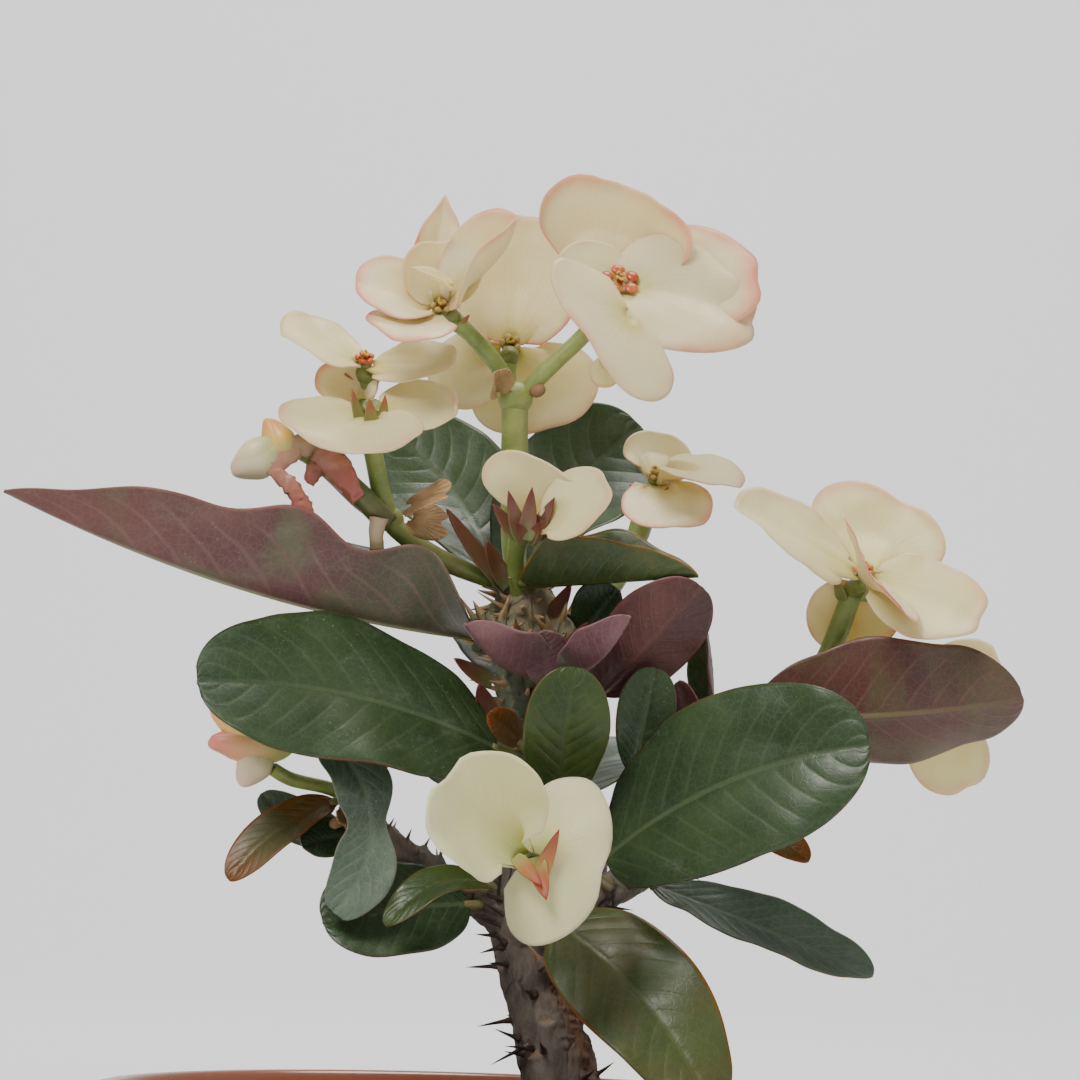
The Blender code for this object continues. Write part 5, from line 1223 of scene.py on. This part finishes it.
# ---------------------------------------------------------------- small extra leaves and dry pieces
for k, row in enumerate([
        ("small_leaf_orange", (8.5, -12, 200), (2, -20, 205.5), (0, -1, 0.5), (0.1, -1, 0.2), (0.1, -1, 0.2), 7, dict(fold=(18, 18), shape=(0.6, 0.5))),
        ("small_leaf_red_tip", (53, -6, 186), (66.5, -10, 178.8), (0, 0, 0.5), (0.2, -0.8, 0.5), (0.2, -0.8, 0.5), 8, dict(fold=(16, 16), shape=(0.5, 0.5))),
        ("small_leaf_dark", (20, -6, 222), (27, -12, 231), (0, 0, 0.5), (0, -1, 0.3), (0, -1, 0.3), 12, dict(fold=(16, 16), shape=(0.6, 0.5))),
        ("small_leaf_purple_join", (13.6, -13.5, 211.5), (12.6, -20.5, 222.4), (0, 0, 0.3), (0, -1, 0.6), (0, -1, 0.6), 9.5, dict(fold=(12, 12), shape=(0.6, 0.5))),
        ("small_leaf_side_dark", (-24.5, -16, 181), (-33.5, -20, 178.5), (0, 0, 0.5), (0, -0.9, 0.5), (0, -0.9, 0.5), 9, dict(fold=(12, 12), shape=(0.5, 0.5))),
        ("small_leaf_edge_dark", (42, -5, 195), (39.5, -11, 213.5), (1.5, 0, 0), (-0.4, -0.9, 0.1), (-0.4, -0.9, 0.1), 8, dict(fold=(26, 26), shape=(0.6, 0.5)))]):
    build_leaf(row, 180 + k, node=False)

build_petal(("flower5_petal_back", (-25, -9.5, 266.5), (-32, -5.5, 275), (0.1, -0.85, 0.5), 12, dict(cup=8, fold=8, wave=(0.08, 3, 0.4), notch=0.05, half=96)), 390, node=False, mat="petal_blush")
build_petal(("flower1_petal_outer", (26.0, -5.0, 291.5), (55.0, -4.0, 293.0), (0.05, -0.85, 0.5), 27, dict(lift=6, cup=-8, fold=6, wave=(0.1, 3, 1.4), notch=0.06, half=92)), 398, node=False, mat="petal_blush")
build_petal(("flower2_petal_inner", (-10.2, -11.0, 286.5), (-11.2, -8.5, 300.0), (0.1, -0.9, 0.35), 17, dict(cup=14, fold=10, wave=(0.08, 3, 0.4), notch=0.05, half=94)), 399, node=False, mat="petal")
build_petal(("flower2_petal_beak", (-7.0, -15.0, 289.6), (-15.4, -17.2, 292.0), (0.1, -0.6, 0.8), 4.6, dict(cup=10, fold=20, notch=-0.1, half=70)), 400, node=False, mat="petal")
build_petal(("flower1_petal_tip", (23.0, -8.0, 277.0), (22.6, -9.0, 271.2), (0, -0.9, 0.2), 6, dict(cup=10, notch=0, half=90)), 401, node=False, mat="petal")
build_petal(("flower1_petal_lap", (24.6, -9.6, 290.4), (13.0, -9.0, 298.0), (0.1, -0.8, 0.55), 15, dict(cup=8, fold=6, wave=(0.08, 3, 0.4), notch=0.0, half=94)), 402, node=False, mat="petal")
build_petal(("flower8_petal_low", (74.6, -7.0, 234.4), (73.6, -2.0, 220.6), (0, -0.9, 0.3), 19, dict(cup=8, fold=6, wave=(0.08, 3, 0.4), notch=0.04, half=94)), 403, node=False, mat="petal_blush")
# petals that have dried to crumpled strips
for k, (nm, pts, rad, sq) in enumerate([
        ("withered_petal_long", [(-33.6, -13.2, 257.6), (-37.7, -13.6, 257.2), (-41.6, -14.2, 252.9), (-38.6, -14.8, 249.6), (-36.4, -15.2, 246.4), (-34.2, -15.4, 241.4)], [1.6, 2.3, 1.7, 1.5, 1.9, 1.2], 0.45),
        ("withered_petal_red", [(-33.4, -14.4, 256.6), (-30.4, -15.0, 254.4), (-27.6, -15.6, 251.0), (-25.0, -15.6, 247.2)], [1.8, 2.9, 2.4, 1.5], 0.5),
        ("withered_petal_rear", [(-32.0, -12.2, 256.8), (-33.6, -12.4, 253.4), (-35.0, -12.8, 250.2)], [1.6, 2.0, 1.0], 0.5),
        ("broken_stub", [(-21.0, -13.6, 237.6), (-21.3, -14.0, 240.6), (-20.9, -14.2, 243.8)], [1.5, 1.5, 1.9], 0.8)]):
    c = spline([p + (r,) for p, r in zip(pts, rad)], 8)
    V, F = tube_geo(c[:, :3], c[:, 3], 16)
    V = np.array(V, float)
    V[:, 1] = np.repeat(c[:, 1], 16) + (V[:, 1] - np.repeat(c[:, 1], 16)) * sq
    L = np.linspace(0, 1, len(c))
    rr, r2 = Ripple(410 + k, 2.2, 20), Ripple(420 + k, 0.9, 20)
    off = np.stack([rr(V), rr(V + 31.0), rr(V + 67.0)], 1) * 0.34 + np.stack([r2(V), r2(V + 13.0), r2(V + 29.0)], 1) * 0.13
    V = V + off * (0.35 if nm == "broken_stub" else 1.0)
    m = Mesh()
    m.add(V, F, lq=np.repeat(0.5 + 0.5 * L if nm == "withered_petal_red" else L ** 0.8, 16))
    ob = m.piece(nm, [MAT["stub" if nm == "broken_stub" else "withered"]])
    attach(ob, "root")
build_petal(("dry_bract_stalk", (1.6, -4.5, 269.0), (0.6, -8.5, 276.0), (0.3, -0.9, 0.3), 6.6, dict(lift=10, cup=30, fold=26, notch=0.1, half=84)), 394, node=False, mat="dry", rough=1.4)
build_petal(("dry_bract_papery", (-15.5, -16.0, 246.0), (-5.5, -18.5, 248.5), (-0.1, -0.6, 0.8), 9.5, dict(lift=16, cup=-30, fold=26, wave=(0.35, 4, 0.4), notch=0.25, half=94)), 395, node=False, mat="dry", rough=2.2)
build_petal(("dry_bract_papery_low", (-15.0, -14.5, 244.5), (-6.5, -16.5, 243.0), (0.1, -0.8, -0.4), 8.5, dict(lift=16, cup=-20, fold=20, wave=(0.35, 4, 1.4), notch=0.25, half=94)), 396, node=False, mat="dry", rough=2.2)
build_petal(("dry_bract_side", (-24.0, -18.0, 182.5), (-30.5, -20.5, 186.0), (0.2, -0.8, 0.5), 7, dict(lift=16, cup=30, fold=36, wave=(0.35, 4, 1.4), notch=0.25, half=90)), 397, node=False, mat="dry", rough=2.0)
m = Mesh()
V, F, t = blob((9.6, -3.6, 270.6), (1.7, 1.2, 1.4), (1, 0, 0.4), 12, 8, 0)
m.add(V, F, la=0.0)
for c, half, ax in [((-26.8, -19.5, 183.5), (1.8, 1.1, 1.2), (1, 0, 0.5)), ((-22.5, -17.5, 184.5), (1.6, 1.1, 1.1), (0.5, 0, 1))]:
    V, F, t = blob(c, half, ax, 12, 8, 0)
    m.add(V, F, la=0.0)
place(m.piece("dry_knots", [MAT["dry"]]), "stem_bark")

# ---------------------------------------------------------------- pot
def rounded(profile, r, steps=5):
    p = np.array(profile, float)
    out = [p[0]]
    for i in range(1, len(p) - 1):
        a, b = p[i - 1] - p[i], p[i + 1] - p[i]
        la, lb = np.linalg.norm(a), np.linalg.norm(b)
        s, e = p[i] + a / la * min(r, la * 0.45), p[i] + b / lb * min(r, lb * 0.45)
        for k in range(steps + 1):
            t = k / steps
            out.append((1 - t) ** 2 * s + 2 * t * (1 - t) * p[i] + t * t * e)
    out.append(p[-1])
    return np.array(out)


V, F = lathe_geo(rounded(POT, 1.0), 224)
m = Mesh()
m.add(V, F)
pot = m.piece("pot_body", [MAT["pot"]])
pot.data.set_sharp_from_angle(angle=radians(50))
place(pot, "pot_plastic", "pot")

# ---------------------------------------------------------------- soil
def soil():
    m = Mesh()
    seg, rings = 220, 74
    prof = [(49.2, SOIL_FLOOR), (50.3, 4.6), (58.5, 60), (66.3, SOIL_TOP - 2.2)]
    tops = [(66.5 * (1 - k / rings), None) for k in range(rings)]
    V = [(0, 0, SOIL_FLOOR)]
    for r, z in prof:
        for k in range(seg):
            V.append((r * cos(2 * pi * k / seg), r * sin(2 * pi * k / seg), z))
    n1, n2, n3 = Ripple(21, 30), Ripple(22, 7, 20), Ripple(23, 2.4, 30)
    for r, _ in tops:
        ring = np.array([(r * cos(2 * pi * k / seg), r * sin(2 * pi * k / seg), 0) for k in range(seg)])
        edge = smooth((66.5 - r) / 5.0)
        z = SOIL_TOP - 0.2 + 0.5 * n1(ring) + 0.75 * n2(ring) * edge + 0.42 * np.abs(n3(ring)) * edge - 0.6 * (1 - edge)
        near = np.exp(-(np.hypot(ring[:, 0] - 22, ring[:, 1]) / 12) ** 2)
        ring[:, 2] = z + 1.2 * near
        V += [tuple(p) for p in ring]
    V.append((0, 0, SOIL_TOP))
    total = len(prof) + len(tops)
    e = len(V) - 1
    F = []
    for k in range(seg):
        n = (k + 1) % seg
        F.append((0, 1 + n, 1 + k))
        F.append((e, e - seg + k, e - seg + n))
        for i in range(total - 1):
            p = 1 + i * seg
            F.append((p + k, p + n, p + seg + n, p + seg + k))
    m.add(V, F, kind=0.0)
    place(m.piece("soil_surface", [MAT["soil"]]), "soil", "soil")
    # crumbs, bark chips and a few pale grains
    r = np.random.RandomState(31)
    bm = bmesh.new()
    bmesh.ops.create_icosphere(bm, subdivisions=2, radius=1)
    bv = np.array([v.co[:] for v in bm.verts])
    bf = [tuple(v.index for v in f.verts) for f in bm.faces]
    bm.free()
    m = Mesh()
    placed = 0
    while placed < 330:
        x, y = (r.rand(2) * 2 - 1) * 63
        if np.hypot(x, y) > 62 or np.hypot(x - 22, y) < 10:
            continue
        placed += 1
        size = 0.7 + 1.7 * r.rand() ** 2.2
        pale = r.rand() < 0.10
        sc = np.array((1, 0.6 + 0.5 * r.rand(), 0.35 + 0.4 * r.rand())) * size * (0.7 if pale else 1)
        w = bv * (1 + 0.22 * Ripple(400 + placed, 1.3, 8)(bv * 1.0))[:, None] * sc
        f = r.rand() * 2 * pi
        R = np.array(((cos(f), -sin(f), 0), (sin(f), cos(f), 0), (0, 0, 1)))
        p = np.array((x, y, 0.0))
        z = SOIL_TOP - 0.2 + 0.5 * float(n1(p)) + 0.75 * float(n2(p)) + sc[2] * 0.35
        m.add(w @ R.T + (x, y, z), bf, kind=1.0 if pale else 0.0)
    place(m.piece("soil_crumbs", [MAT["soil"]]), "soil")


soil()

# ---------------------------------------------------------------- stage, camera, light
def backdrop():
    prof = [(-9.0, 0.0), (3.2, 0.0)] + [(3.2 + 1.6 * sin(radians(a)), 1.6 - 1.6 * cos(radians(a))) for a in range(6, 91, 6)] + [(4.8, 6.0)]
    V = [(x, y, z) for y, z in prof for x in (-9.0, 9.0)]
    F = [(2 * i, 2 * i + 1, 2 * i + 3, 2 * i + 2) for i in range(len(prof) - 1)]
    me = bpy.data.meshes.new("floor")
    me.from_pydata(V, [], F)
    me.shade_smooth()
    ob = bpy.data.objects.new("floor", me)
    bpy.context.scene.collection.objects.link(ob)
    mt = Nodes("floor")
    mt.set("Base Color", (0.88, 0.88, 0.87))
    mt.set("Roughness", 0.85)
    mt.bsdf.inputs["Specular IOR Level"].default_value = 0.2
    me.materials.append(mt.mat)


backdrop()

cam = bpy.data.cameras.new("camera")
cam.lens = 200
cam.sensor_width = 36
cam.clip_start = 0.05
cam.clip_end = 60
view = bpy.data.objects.new("camera", cam)
view.matrix_world = Matrix.Translation((0.0111, -1.2, 0.204)) @ Matrix.Rotation(radians(91.76), 4, "X") @ Matrix.Rotation(radians(1.9), 4, "Z")
bpy.context.scene.collection.objects.link(view)
bpy.context.scene.camera = view


def light(name, loc, target, size, power, colour=(1, 1, 1)):
    li = bpy.data.lights.new(name, "AREA")
    li.shape = "DISK"
    li.size = size
    li.energy = power
    li.color = colour
    ob = bpy.data.objects.new(name, li)
    ob.location = loc
    ob.rotation_euler = (Vector(target) - Vector(loc)).to_track_quat("-Z", "Y").to_euler()
    bpy.context.scene.collection.objects.link(ob)


light("key", (-0.50, -0.95, 1.35), (0, 0, 0.22), 0.6, 21.0, (1.0, 0.97, 0.92))
light("top", (0.25, 0.35, 1.55), (0, 0, 0.2), 0.7, 15.0, (1.0, 0.98, 0.95))
light("fill", (1.5, -1.0, 0.7), (0, 0, 0.2), 1.2, 5.0, (0.97, 0.985, 1.0))

light("wall", (0, 1.9, 2.6), (0, 4.6, 1.2), 2.2, 110.0, (1.0, 1.0, 1.0))

world = bpy.context.scene.world or bpy.data.worlds.new("world")
bpy.context.scene.world = world
world.use_nodes = True
bg = world.node_tree.nodes["Background"]
bg.inputs[0].default_value = (0.90, 0.93, 0.96, 1)
bg.inputs[1].default_value = 0.40
